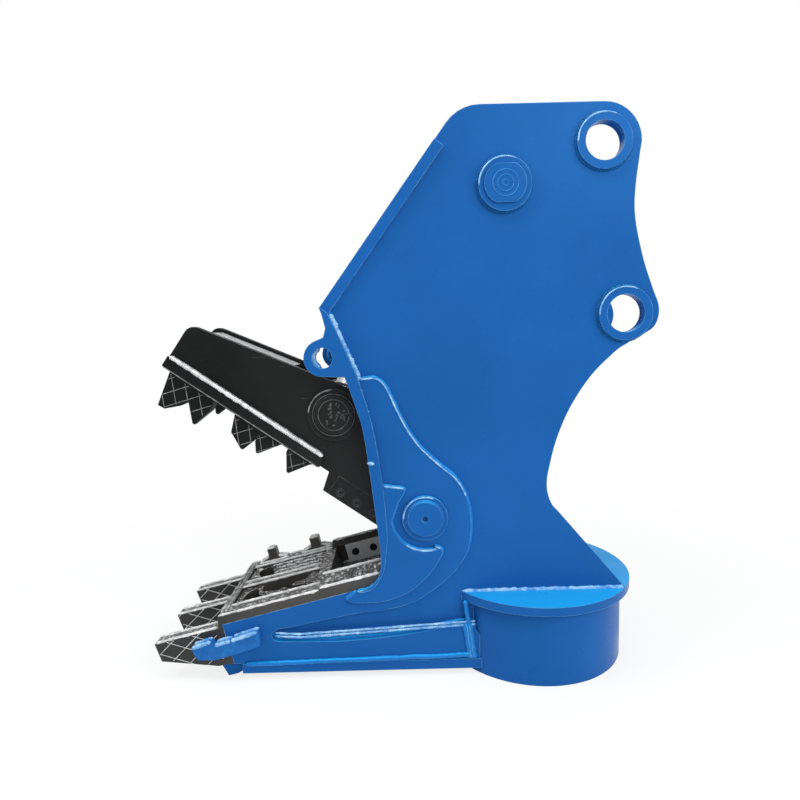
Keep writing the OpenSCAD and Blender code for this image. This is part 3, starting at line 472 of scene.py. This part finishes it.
RECIPES = {
    "blue_paint": (enamel, dict(base=BLUE, worn=EDGE_HIGHLIGHT_BLUE)),
    "cylinder_paint": (enamel, dict(base=BLUE, worn=EDGE_HIGHLIGHT_BLUE)),
    # painted highlight: the weld beads get a lighter blue than the plates, and paler edges
    "blue_weld": (enamel, dict(base=(0.009, 0.150, 0.46), worn=(0.24, 0.60, 0.90),
                               edge_r=0.0015, gloss=0.6)),
    # painted highlight: pale blue weld metal for beads that stand where light catches
    "pale_weld": (mottled, dict(dark=(0.02, 0.22, 0.58), pale=(0.50, 0.78, 0.95),
                                scale=120, grain=0.8, metal=0.0)),
    "light_paint": (mottled, dict(dark=(0.008, 0.105, 0.36), pale=(0.020, 0.180, 0.52),
                                  scale=45, grain=0.8, metal=0.0, gloss=PAINT_GLOSS)),
    "bar_weld": (mottled, dict(dark=grey(0.05), pale=(0.66, 0.66, 0.65),
                               scale=110, grain=0.9, metal=0.1)),
    "bright_weld": (mottled, dict(dark=grey(0.42), pale=grey(0.98),
                                  scale=110, grain=0.7, metal=0.0)),
    "tooth_weld": (mottled, dict(dark=grey(0.07), pale=grey(0.42),
                                 scale=110, grain=0.5, metal=0.1)),
    "cap_weld": (mottled, dict(dark=grey(0.012), pale=grey(0.12),
                               scale=110, grain=0.5, metal=0.1)),
    "dark_weld": (mottled, dict(dark=grey(0.08), pale=grey(0.55),
                                scale=80, grain=0.5, metal=0.75)),
    "blade_steel": (mottled, dict(dark=(0.55, 0.55, 0.54), pale=(0.95, 0.95, 0.94),
                                  scale=55, grain=0.3, metal=0.0)),
    "grain_steel": (mottled, dict(dark=grey(0.16), pale=grey(0.52),
                                  scale=150, grain=0.5, metal=0.1)),
    "deck_weld": (hardfaced, dict(side=grey(0.030), nose=grey(0.015),
                                  pale=(0.98, 0.98, 0.97), scale=80)),
    "worn_casting": (hardfaced, dict(side=(0.050, 0.047, 0.042), nose=grey(0.010),
                                     pale=(0.86, 0.86, 0.85), scale=105)),
    "dark_jaw": (satin_paint, dict(base=(0.0035, 0.004, 0.004), rear=grey(0.020),
                                   worn=grey(0.20))),
    "machined_steel": (smooth, dict(base=(0.45, 0.46, 0.47), rough=0.32, metal=1.0)),
    "bronze": (smooth, dict(base=(0.50, 0.34, 0.15), rough=0.35, metal=1.0)),
    "rod_chrome": (smooth, dict(base=(0.80, 0.81, 0.83), rough=0.10, metal=1.0)),
    "coil_winding": (smooth, dict(base=(0.42, 0.19, 0.08), rough=0.45, metal=0.3)),
    "gland_plastic": (smooth, dict(base=grey(0.03), rough=0.5, metal=0.0)),
}
MATERIALS = {name: make(name, **values) for name, (make, values) in RECIPES.items()}

# Nodes whose look differs from their slot's
LOOKS = {"jaw_top_plate": "grain_steel", "guard_hooks": "light_paint"}


def dress_nodes():
    """Each CAD node in the material of its slot, or in a look of its own."""
    slots = {part["node"]: part["material_slot"] for part in frame["record"]["subparts"]}
    for name, node in NODES.items():
        node.data.materials.clear()
        node.data.materials.append(MATERIALS[LOOKS.get(name, slots[name])])


# Outlines read from the CAD nodes, in metres, with cosines for directions
ALIKE = 0.9995
SQUARE = 0.99
WELD_GAP = 1e-5
LEVEL_GAP = 2e-4
LEAST_FACE = 0.0004


def flats(name, toward, least=LEAST_FACE, cosine=SQUARE):
    """The node's flat faces that look toward a direction: their normals and edge loops."""
    bm = bmesh.new()
    bm.from_mesh(NODES[name].data)
    bmesh.ops.remove_doubles(bm, verts=bm.verts, dist=WELD_GAP)
    bm.normal_update()
    seen, found = set(), []
    for start in bm.faces:
        if start in seen or start.normal.dot(toward) < cosine:
            continue
        region = region_round(start)
        seen.update(region)
        if sum(face.calc_area() for face in region) > least:
            found.append((start.normal.copy(), loops_round(region)))
    bm.free()
    return found


def region_round(start):
    """The faces that lie in one plane with a face and join it, always in the same order."""
    region, stack = {start: True}, [start]
    while stack:
        for edge in stack.pop().edges:
            for face in edge.link_faces:
                if face not in region and face.normal.dot(start.normal) > ALIKE:
                    region[face] = True
                    stack.append(face)
    return list(region)


def loops_round(region):
    """The closed lines of points round a region of faces."""
    follow = {}
    inside = set(region)
    for face in region:
        for loop in face.loops:
            if sum(other in inside for other in loop.edge.link_faces) == 1:
                follow[loop.vert] = loop.link_loop_next.vert
    loops = []
    while follow:
        first, vert = follow.popitem()
        line = [first.co.copy()]
        while vert in follow:
            line.append(vert.co.copy())
            vert = follow.pop(vert)
        loops.append(line)
    return loops


def runs(loop, normal, keep):
    """The stretches of a closed loop that are kept, by their middle and outward direction."""
    count = len(loop)
    wanted = []
    for i in range(count):
        a, b = loop[i], loop[(i + 1) % count]
        wanted.append(keep((a + b) / 2, (b - a).normalized().cross(normal)))
    if all(wanted):
        return [loop + [loop[0]]]
    start = wanted.index(False)
    found, line = [], []
    for step in range(1, count + 1):
        i = (start + step) % count
        if wanted[i]:
            line = line or [loop[i]]
            line.append(loop[(i + 1) % count])
        elif line:
            found.append(line)
            line = []
    return found


def crossings(loops, level):
    """Where closed loops of flat points cross a level, in order."""
    cuts = []
    for loop in loops:
        for (u0, v0), (u1, v1) in zip(loop, loop[1:] + loop[:1]):
            if (v0 > level) != (v1 > level):
                cuts.append(u0 + (u1 - u0) * (level - v0) / (v1 - v0))
    return sorted(cuts)


def hatch(loops, normal, along, pitch, inset=0.004, least=0.012):
    """Parallel lines across a flat face, cut to its outline."""
    along = (along - normal * along.dot(normal)).normalized()
    across = along.cross(normal)
    origin = loops[0][0]
    flat = [[((p - origin).dot(along), (p - origin).dot(across)) for p in loop]
            for loop in loops]
    levels = [v for loop in flat for _, v in loop]
    level = min(levels) + pitch / 2
    lines = []
    while level < max(levels):
        cuts = crossings(flat, level)
        for start, end in zip(cuts[::2], cuts[1::2]):
            if end - start > 2 * inset + least:
                lines.append([origin + along * u + across * level
                              for u in (start + inset, end - inset)])
        level += pitch
    return lines


def spaced(line, step):
    """Points at an even spacing along a line."""
    points, rest = [line[0]], 0.0
    for a, b in zip(line, line[1:]):
        length = (b - a).length
        reach = step - rest
        while reach <= length and length > 0:
            points.append(a.lerp(b, reach / length))
            reach += step
        rest = length - (reach - step)
    return points


def kept_part(line, keep, step=0.002, least=5):
    """The stretch of a straight line whose points are kept."""
    points = [p for p in spaced(line, step) if keep(p)]
    return [points[0], points[-1]] if len(points) >= least else []


def turns(count):
    """The cosines and sines of a full turn, with its start again at its end."""
    angles = [2 * math.pi * i / count for i in range(count + 1)]
    return [(math.cos(angle), math.sin(angle)) for angle in angles]


def ring(centre, radius, y, count=72):
    """A closed circle of points round a pin's axis."""
    return [Vector((centre.x + radius * c, y, centre.z + radius * s)) for c, s in turns(count)]


def ring_flat(x, radius, z, count=120):
    """A closed circle of points round a plumb axis."""
    return [Vector((x + radius * c, radius * s, z)) for c, s in turns(count)]


def side_line(points, y):
    """Points given as x and z in millimetres, at one distance from the middle plane."""
    return [Vector((x / 1000, y, z / 1000)) for x, z in points]


def outward_of(side):
    """The direction away from the middle plane."""
    return Vector((0, side, 0))


# How weld beads wander: noise scales per metre, a share of the radius, and the ends' taper
WOBBLE_SCALE = 90
DRIFT_SCALE = 35
DRIFT_SHARE = 0.18
END_START = 0.4
END_GAIN = 0.33

# The fewest points that make a bead, and the step along crossed beads as a share of a ripple
LEAST_POINTS = 4
HATCH_STEP = 0.5


class Beads:
    """Rippled weld beads, swept along lines and joined into one piece."""

    def __init__(self, radius, ripple=0.006, rough=0.16, sides=8):
        self.radius = radius
        self.ripple = ripple
        self.rough = rough
        self.sides = sides
        self.points = []
        self.faces = []

    def run(self, line, normal, radius=None, step_share=0.35, rise=1.0):
        """One bead along a line, on a face with this normal."""
        radius = radius or self.radius
        path = spaced(line, self.ripple * step_share)
        if len(path) < LEAST_POINTS:
            return
        smoothed = [(a + b + c) / 3 for a, b, c in zip(path, path[1:], path[2:])]
        path = [path[0]] + smoothed + [path[-1]]
        first, last = len(self.points), len(path) - 1
        for i, point in enumerate(path):
            tangent = (path[min(i + 1, last)] - path[max(i - 1, 0)]).normalized()
            across = tangent.cross(normal).normalized()
            swell = abs(math.sin(math.pi * i * step_share))
            wobble = noise.noise(point * WOBBLE_SCALE)
            ends = min(1.0, (i + END_START) * END_GAIN, (last - i + END_START) * END_GAIN)
            size = radius * ends * (1 - self.rough * (1 - swell) + self.rough * wobble)
            drift = noise.noise(point * DRIFT_SCALE + normal) * radius * DRIFT_SHARE
            self.section(point + across * drift, size, across, rise * normal)
        self.skin(first, last)

    def section(self, middle, size, across, upward):
        """The points round one place of a bead."""
        for c, s in turns(self.sides)[:-1]:
            self.points.append(middle + size * (c * across + s * upward))

    def skin(self, first, last):
        """The faces along a bead and over its two ends."""
        sides = self.sides
        for i in range(last):
            for j in range(sides):
                a = first + i * sides + j
                b = first + i * sides + (j + 1) % sides
                self.faces.append((a, b, b + sides, a + sides))
        tail = first + last * sides
        self.faces.append(tuple(first + j for j in reversed(range(sides))))
        self.faces.append(tuple(tail + j for j in range(sides)))

    def round_edge(self, node, side, level, ground, keep, radius=None):
        """A fillet bead at the foot of a plate, where it stands on the plate behind it."""
        outward = outward_of(side)
        for _, loops in flats(node, outward):
            for loop in loops:
                if abs(loop[0].y - side * level) > LEVEL_GAP:
                    continue
                for line in runs(loop, outward, keep):
                    foot = [Vector((p.x, side * ground, p.z)) for p in line]
                    self.run(foot, outward, radius)

    def piece(self, name, body, material, slot):
        """The beads as one mesh inside the CAD box, on a body."""
        mesh = bpy.data.meshes.new(name)
        inside = [tuple(min(max(c, lo), hi) for c, lo, hi in zip(p, *cad_box))
                  for p in self.points]
        mesh.from_pydata(inside, [], self.faces)
        bm = bmesh.new()
        bm.from_mesh(mesh)
        bmesh.ops.recalc_face_normals(bm, faces=bm.faces)
        bm.to_mesh(mesh)
        bm.free()
        mesh.polygons.foreach_set("use_smooth", [True] * len(mesh.polygons))
        mesh.materials.append(MATERIALS[material])
        obj = new_object(name, mesh)
        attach(obj, body)


# Styles of the thin beads
CROSSED = dict(ripple=0.004, rough=0.3, sides=6)
ROUND = dict(ripple=0.005, rough=0.2, sides=6)
BOLT_ROUND = dict(ripple=0.003, rough=0.2, sides=6)

# Which edges carry a bead, by the cosine of their outward direction
ALIGNED = 0.8
LEANING = 0.7
REARWARD = 0.2


def every_edge(p, out):
    """All of an outline."""
    return True


def side_edges(p, out):
    """The edges that run along the tool."""
    return abs(out.y) > ALIGNED


def top_edges(p, out):
    """The edges on top."""
    return out.z > ALIGNED


def rear_edges(p, out):
    """The edges to the rear."""
    return out.x > REARWARD


def jaw_top_edges(p, out):
    """The edges towards the upper jaw's back."""
    return out.dot(JAW_UP) > LEANING


def jaw_low_edges(p, out):
    """The edges towards the upper jaw's teeth."""
    return out.dot(JAW_UP) < -LEANING


# Lines of the blue frame's welds, by x and z in millimetres
FINGER_BEAD = [(-929, -1344), (-857, -1349), (-352, -1322)]
FINGER_LIFT_MM = 9
BOTTOM_BEAD = [(-1018, -1427), (-366, -1413)]
DRUM_BEAD = [(-383, -1250), (-372, -1324)]
DRUM_PATCH = [(-376, -1318), (-362, -1428)]
DRUM_SHIFTS_MM = (-8, 0, 8)
STRIP_STUB = [(-649, -842), (-627, -845)]
CHEEK_TOP_BEAD = [(-671, -618), (-584, -648)]

# How far the middles of beads lie outside or inside a plate's face, in metres
BOTTOM_BEAD_OUT = 0.002
CHEEK_TOP_OUT = 0.003
# the next two place pale beads that are painted highlights
STRIP_HIGHLIGHT_OUT = 0.007
THROAT_HIGHLIGHT_IN = 0.002

# Where beads stop, in metres: by a height over the pivot, square to the lower jaw, and by Z
RIB_SEAT_UP = -0.156
RIB_SEAT_ROOM = 0.004
BOTTOM_ROOM = 0.003
FLANGE_ROOM = 0.002
# the next two bound pale beads that are painted highlights
STRIP_HIGHLIGHT_Z = (-0.70, -0.43)
CHEEK_HIGHLIGHT_Z = -0.95

# Bead radii of the blue frame's sides, in metres
SEAM_R = 0.0075
THROAT_SEAM_R = 0.0050
STRIP_SEAM_R = 0.0085
CHORD_R = 0.0080
FINGER_R = 0.0042
FINGER_TOP_R = 0.0036
CHEEK_TOP_R = 0.0050
STUB_R = 0.0060
# the next three are pale beads that are painted highlights
STRIP_HIGHLIGHT_R = 0.0095
CHEEK_HIGHLIGHT_R = 0.0028
THROAT_HIGHLIGHT_R = 0.0036


def cheek_seam(p, out):
    """A cheek plate's outline but for its edge under the ribs and its foot."""
    under_ribs = abs((p - PIVOT).dot(LOW_UP) - RIB_SEAT_UP) <= RIB_SEAT_ROOM
    return p.z > BOTTOM_TOP + BOTTOM_ROOM and not under_ribs


def strip_highlight(p, out):
    """The stretch of an edge strip's rear edge whose bead is pale, a painted highlight."""
    return rear_edges(p, out) and STRIP_HIGHLIGHT_Z[0] < p.z < STRIP_HIGHLIGHT_Z[1]


def cheek_highlight(p, out):
    """The upper rear stretch of a cheek plate's rim, where a pale bead is a painted highlight."""
    return out.x > -REARWARD and p.z > CHEEK_HIGHLIGHT_Z


def flange_chord(name, side):
    """The line where a side plate stands on the flange."""
    half = math.sqrt(FLANGE_R ** 2 - SIDE_Y ** 2)
    z = FLANGE[1].z
    outlines = [[(p.x, p.z) for p in loop]
                for _, loops in flats("side_plate_" + name, outward_of(side)) for loop in loops]
    cuts = crossings(outlines, z + FLANGE_ROOM)
    return [Vector((max(cuts[0], DRUM_X - half), side * SIDE_Y, z)),
            Vector((min(cuts[-1], DRUM_X + half), side * SIDE_Y, z))]


def painted_seams(name, side):
    """Painted fillets round the plates of one side and down to the drum."""
    beads = Beads(SEAM_R)
    outward = outward_of(side)
    beads.round_edge("cheek_plate_" + name, side, CHEEK_Y, SIDE_Y, cheek_seam)
    beads.round_edge("throat_plate_" + name, side, THROAT_Y, CHEEK_Y, every_edge, THROAT_SEAM_R)
    beads.round_edge("edge_strip_" + name, side, STRIP_Y, SIDE_Y, rear_edges, STRIP_SEAM_R)
    beads.run(side_line(BOTTOM_BEAD, side * (CHEEK_Y + BOTTOM_BEAD_OUT)), outward)
    beads.run(side_line(DRUM_BEAD, side * CHEEK_Y), outward)
    for shift in DRUM_SHIFTS_MM:
        patch = [(x + shift, z) for x, z in DRUM_PATCH]
        beads.run(side_line(patch, side * CHEEK_Y), outward)
    beads.piece("side_welds_" + name, "frame", "blue_weld", "blue_paint")


def highlight_seams(name, side):
    """Seams of one side made pale as painted highlights where they catch the light: upper rim edges, the flange
    and the finger.
    """
    beads = Beads(CHEEK_TOP_R, rough=0.35)
    outward = outward_of(side)
    beads.run(flange_chord(name, side), Vector((0, side, 1)).normalized(), CHORD_R)
    beads.run(side_line(FINGER_BEAD, side * CHEEK_Y), outward, FINGER_R)
    lifted = [(x, z + FINGER_LIFT_MM) for x, z in FINGER_BEAD]
    beads.run(side_line(lifted, side * CHEEK_Y), outward, FINGER_TOP_R)
    beads.run(side_line(CHEEK_TOP_BEAD, side * (SIDE_Y + CHEEK_TOP_OUT)), outward)
    beads.run(side_line(STRIP_STUB, side * STRIP_Y), outward, STUB_R)
    beads.round_edge("edge_strip_" + name, side, STRIP_Y, SIDE_Y + STRIP_HIGHLIGHT_OUT, strip_highlight,
                     STRIP_HIGHLIGHT_R)
    beads.round_edge("cheek_plate_" + name, side, CHEEK_Y, CHEEK_Y, cheek_highlight, CHEEK_HIGHLIGHT_R)
    beads.round_edge("throat_plate_" + name, side, THROAT_Y, THROAT_Y - THROAT_HIGHLIGHT_IN,
                     top_edges, THROAT_HIGHLIGHT_R)
    beads.piece("highlight_welds_" + name, "frame", "pale_weld", "blue_paint")


# Welds of the pin bosses, hooks and drum, and pale arcs on the bosses' upper left edges that are painted
# highlights, in metres, with arcs by points of a ring
BOSS_SEAM_R = 0.0060
HIGHLIGHT_BEAD_R = 0.0024
HIGHLIGHT_INSET = 0.002
HIGHLIGHT_ARC = slice(13, 38)
BORE_R = 0.055
COLLAR_HIGHLIGHT_INSET = 0.004
PIN_RINGS = (0.008, 0.021, 0.034)
PIN_RING_BEAD_R = 0.0013
HOOK_BEAD_R = 0.0065
DRUM_SEAM_R = 0.0060
SMALL_FACE = 0.0001


def boss_rings(node, side):
    """The centre, radius and face of each boss outside a side plate, with its bore left out."""
    for _, loops in flats(node, outward_of(side)):
        for loop in loops:
            xs, zs = [p.x for p in loop], [p.z for p in loop]
            radius = (max(xs) - min(xs)) / 2
            if abs(loop[0].y) >= SIDE_Y and radius > BORE_R:
                centre = Vector(((min(xs) + max(xs)) / 2, 0, (min(zs) + max(zs)) / 2))
                yield centre, radius, loop[0].y


def weld_bosses(name, side):
    """Fillets round the bosses of the arm's pins and the base pin, and pale arcs on the upper left of each boss
    and of the pivot collar, painted highlights.
    """
    seams = Beads(BOSS_SEAM_R)
    highlight_beads = Beads(HIGHLIGHT_BEAD_R, rough=0.35)
    outward = outward_of(side)
    for node in ("mount_bosses", "base_pin_bosses"):
        for centre, radius, y in boss_rings(node, side):
            seams.run(ring(centre, radius, side * SIDE_Y), outward)
            # painted highlight: a pale arc on the upper left of the rim
            highlight_beads.run(ring(centre, radius - HIGHLIGHT_INSET, y)[HIGHLIGHT_ARC], outward)
    collar_r = half_width("pivot_collars") - COLLAR_HIGHLIGHT_INSET
    highlight_beads.run(ring(PIVOT, collar_r, side * outer_y("pivot_collars"))[HIGHLIGHT_ARC], outward)
    for radius in PIN_RINGS:
        seams.run(ring(BASE_PIN, radius, side * outer_y("base_pin")), outward, PIN_RING_BEAD_R)
    seams.piece("boss_welds_" + name, "frame", "blue_weld", "blue_paint")
    highlight_beads.piece("boss_highlights_" + name, "frame", "pale_weld", "blue_paint")


def weld_hooks():
    """Pale beads along the tops of the guard hooks, a painted highlight."""
    beads = Beads(HOOK_BEAD_R, rough=0.3)
    for normal, loops in flats("guard_hooks", LOW_UP, SMALL_FACE, ALIGNED):
        for loop in loops:
            for line in runs(loop, normal, side_edges):
                beads.run(line, normal)
    beads.piece("hook_welds", "frame", "pale_weld", "blue_paint")


def weld_drum():
    """The seam of the drum under its flange."""
    beads = Beads(DRUM_SEAM_R)
    beads.run(ring_flat(DRUM_X, DRUM_R, FLANGE[0].z), Vector((0, 0, -1)))
    beads.piece("drum_weld", "frame", "blue_weld", "blue_paint")


def weld_frame():
    """All welds of the blue frame."""
    for name, side in SIDES.items():
        painted_seams(name, side)
        highlight_seams(name, side)
        weld_bosses(name, side)
    weld_hooks()
    weld_drum()


# Hardfacing of the lower jaw, in metres along and over it, with slants and tilts as shares
RIB_BEAD_R = 0.0052
RIB_BEAD_INSET = 0.0045
RIB_FACE = 0.0003
RIB_LINE = 0.03
DECK_FACE = 0.0006
DECK_PITCH = 0.0115
DECK_BEAD_R = 0.0055
DECK_SLANT = 0.35
DECK_COSINE = 0.97
ROW_PITCH = 0.030
ROW_BEAD_R = 0.0060
NOSE_FACE = 0.0010
NOSE_PITCH = 0.040
NOSE_BEAD_R = 0.0012
NOSE_TILTS = (0.62, -0.62)
NOSE_INSET = 0.001
NOSE_START = 0.662


def rib_edges(node):
    """Beads just inside the long edges of a rib's upper faces."""
    beads = Beads(RIB_BEAD_R, rough=0.3)
    for normal, loops in flats(node, LOW_UP, RIB_FACE, ALIGNED):
        for loop in loops:
            for line in runs(loop, normal, side_edges):
                if sum((b - a).length for a, b in zip(line, line[1:])) < RIB_LINE:
                    continue
                out = (line[1] - line[0]).normalized().cross(normal)
                beads.run([p - out * RIB_BEAD_INSET for p in line], normal)
    beads.piece(node + "_beads", "frame", "bright_weld", "worn_casting")


def on_nose(p):
    """Whether a point lies ahead of where a rib's nose starts."""
    return (p - PIVOT).dot(LOW_AHEAD) > NOSE_START


def nose_lines(node):
    """Thin crossed beads on both sides of a rib's nose."""
    beads = Beads(NOSE_BEAD_R, **CROSSED)
    for side in SIDES.values():
        for normal, loops in flats(node, outward_of(side), NOSE_FACE):
            for tilt in NOSE_TILTS:
                direction = LOW_AHEAD + LOW_UP * tilt
                for line in hatch(loops, normal, direction, NOSE_PITCH, NOSE_INSET):
                    part = kept_part(line, on_nose)
                    if part:
                        beads.run(part, normal, step_share=HATCH_STEP)
    beads.piece(node + "_lines", "frame", "bright_weld", "worn_casting")


def deck_beads(node, piece, material, direction, radius=DECK_BEAD_R, pitch=DECK_PITCH,
               cosine=DECK_COSINE):
    """Rows of beads across a node's upper faces."""
    beads = Beads(radius, rough=0.35, sides=6)
    for normal, loops in flats(node, LOW_UP, DECK_FACE, cosine):
        for line in hatch(loops, normal, direction, pitch):
            beads.run(line, normal, step_share=HATCH_STEP)
    beads.piece(piece, "frame", material, "worn_casting")


def weld_grid():
    """All hardfacing of the lower jaw."""
    for node in ("rib_near", "rib_middle", "rib_far"):
        rib_edges(node)
        nose_lines(node)
    slanted = LOW_AHEAD + Vector((0, DECK_SLANT, 0))
    for node in ("grid_links", "grid_plate"):
        deck_beads(node, node + "_beads", "deck_weld", slanted)
    deck_beads("grid_plate", "grid_plate_rows", "bright_weld", LOW_AHEAD, ROW_BEAD_R, ROW_PITCH)
    deck_beads("front_bar", "front_bar_beads", "bar_weld", Vector((0, 1, 0)), cosine=ALIGNED)


# Welds and hardfacing of the upper jaw, in metres, with tilts as shares
RAIL_BEAD_R = 0.0065
RAIL_FOOT_R = 0.0060
RAIL_UNDER_R = 0.0040
RAIL_TOP_IN = 0.003
RAIL_UNDER_IN = 0.004
TOOTH_FACE = 0.0003
TOOTH_COSINE = 0.6
TOOTH_PITCH = 0.036
TOOTH_BEAD_R = 0.0014
TOOTH_TILTS = (0.8, -0.8)
TOOTH_INSET = 0.002


def weld_rails(name, side):
    """A bright bead along a side rail's top edge, and dull ones over and under the rail."""
    top = Beads(RAIL_BEAD_R, rough=0.3)
    top.round_edge("jaw_rails", side, RAIL_Y, RAIL_Y - RAIL_TOP_IN, jaw_top_edges)
    top.piece("rail_welds_" + name, "jaw", "bright_weld", "dark_jaw")
    foot = Beads(RAIL_FOOT_R)
    foot.round_edge("jaw_rails", side, RAIL_Y, JAW_Y, jaw_top_edges)
    foot.round_edge("jaw_rails", side, RAIL_Y, RAIL_Y - RAIL_UNDER_IN, jaw_low_edges,
                    RAIL_UNDER_R)
    foot.piece("rail_foot_welds_" + name, "jaw", "dark_weld", "dark_jaw")


def tooth_lines(name, side):
    """Thin crossed beads on the outer faces of one row of teeth."""
    beads = Beads(TOOTH_BEAD_R, **CROSSED)
    for normal, loops in flats("teeth_" + name, outward_of(side), TOOTH_FACE, TOOTH_COSINE):
        for tilt in TOOTH_TILTS:
            for line in hatch(loops, normal, JAW_UP + JAW_AHEAD * tilt, TOOTH_PITCH, TOOTH_INSET):
                beads.run(line, normal, step_share=HATCH_STEP)
    beads.piece("tooth_beads_" + name, "jaw", "tooth_weld", "dark_jaw")


def weld_jaw():
    """All welds of the upper jaw but for those round its pins and bolts."""
    for name, side in SIDES.items():
        weld_rails(name, side)
        tooth_lines(name, side)


# Rings and marks on the upper jaw's bolts and rod pin caps, in metres
BOLT_FACE = 0.00005
BOLT_RINGS = (0.0116, 0.0065)
BOLT_RING_BEAD_R = 0.0014
BOLT_RING_COUNT = 40
CAP_RINGS = (0.060, 0.044)
CAP_RING_BEAD_R = 0.0022
CAP_RING_DEPTH = 0.0008
CAP_RING_RISE = 0.8
CAP_MARK_DEPTH = 0.001
# the next two place a pale arc on each cap's rim, a painted highlight
CAP_HIGHLIGHT_R = 0.072
CAP_HIGHLIGHT_ARC = slice(18, 36)
ROSETTE_R = 0.034
ROSETTE_BARE = 0.2
ROSETTE_SPOT = 0.007
ROSETTE_SPOTS = 26
ROSETTE_BEAD_R = 0.0038
ROSETTE_RISE = 0.6
ROSETTE_SEED = 5


def bolt_rings():
    """Thin rings round the heads of the upper blade's bolts."""
    beads = Beads(BOLT_RING_BEAD_R, **BOLT_ROUND)
    for side in SIDES.values():
        outward = outward_of(side)
        for _, loops in flats("jaw_blade_bolts", outward, BOLT_FACE):
            for loop in loops:
                middle = sum(loop, Vector()) / len(loop)
                if side * middle.y > 0:
                    for radius in BOLT_RINGS:
                        beads.run(ring(middle, radius, middle.y, BOLT_RING_COUNT), outward)
    beads.piece("bolt_rings", "jaw", "cap_weld", "dark_jaw")


def pointing(angle):
    """A direction square to the pins."""
    return Vector((math.cos(angle), 0, math.sin(angle)))


def rosette(beads, centre, face, side):
    """Short rough marks strewn over the middle of a cap."""
    for _ in range(ROSETTE_SPOTS):
        angle = random.uniform(0, 2 * math.pi)
        away = random.uniform(ROSETTE_BARE, 1) * ROSETTE_R
        spot = centre + away * pointing(angle)
        spot.y = face - side * CAP_MARK_DEPTH
        reach = pointing(random.uniform(0, 2 * math.pi)) * ROSETTE_SPOT
        beads.run([spot - reach, spot + reach], outward_of(side), ROSETTE_BEAD_R,
                  rise=ROSETTE_RISE)


def cap_rings():
    """Rings and rough marks on the rod pin's caps, and a pale arc on the upper left of each rim, a painted
    highlight.
    """
    marks = Beads(CAP_RING_BEAD_R, **ROUND)
    highlight_beads = Beads(CAP_RING_BEAD_R, **ROUND)
    start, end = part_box("rod_pin_caps")
    centre = (start + end) / 2
    random.seed(ROSETTE_SEED)
    for side in SIDES.values():
        face = end.y if side > 0 else start.y
        for radius in CAP_RINGS:
            line = ring(centre, radius, face - side * CAP_RING_DEPTH)
            marks.run(line, outward_of(side), rise=CAP_RING_RISE)
        rosette(marks, centre, face, side)
        # painted highlight: a pale arc on the upper left of the rim
        rim = ring(centre, CAP_HIGHLIGHT_R, face - side * CAP_MARK_DEPTH)
        highlight_beads.run(rim[CAP_HIGHLIGHT_ARC], outward_of(side))
    marks.piece("cap_beads", "jaw", "cap_weld", "dark_jaw")
    highlight_beads.piece("cap_highlight_beads", "jaw", "tooth_weld", "dark_jaw")


build_camera()
build_light()
build_floor()
dress_nodes()
weld_frame()
weld_grid()
weld_jaw()
bolt_rings()
cap_rings()
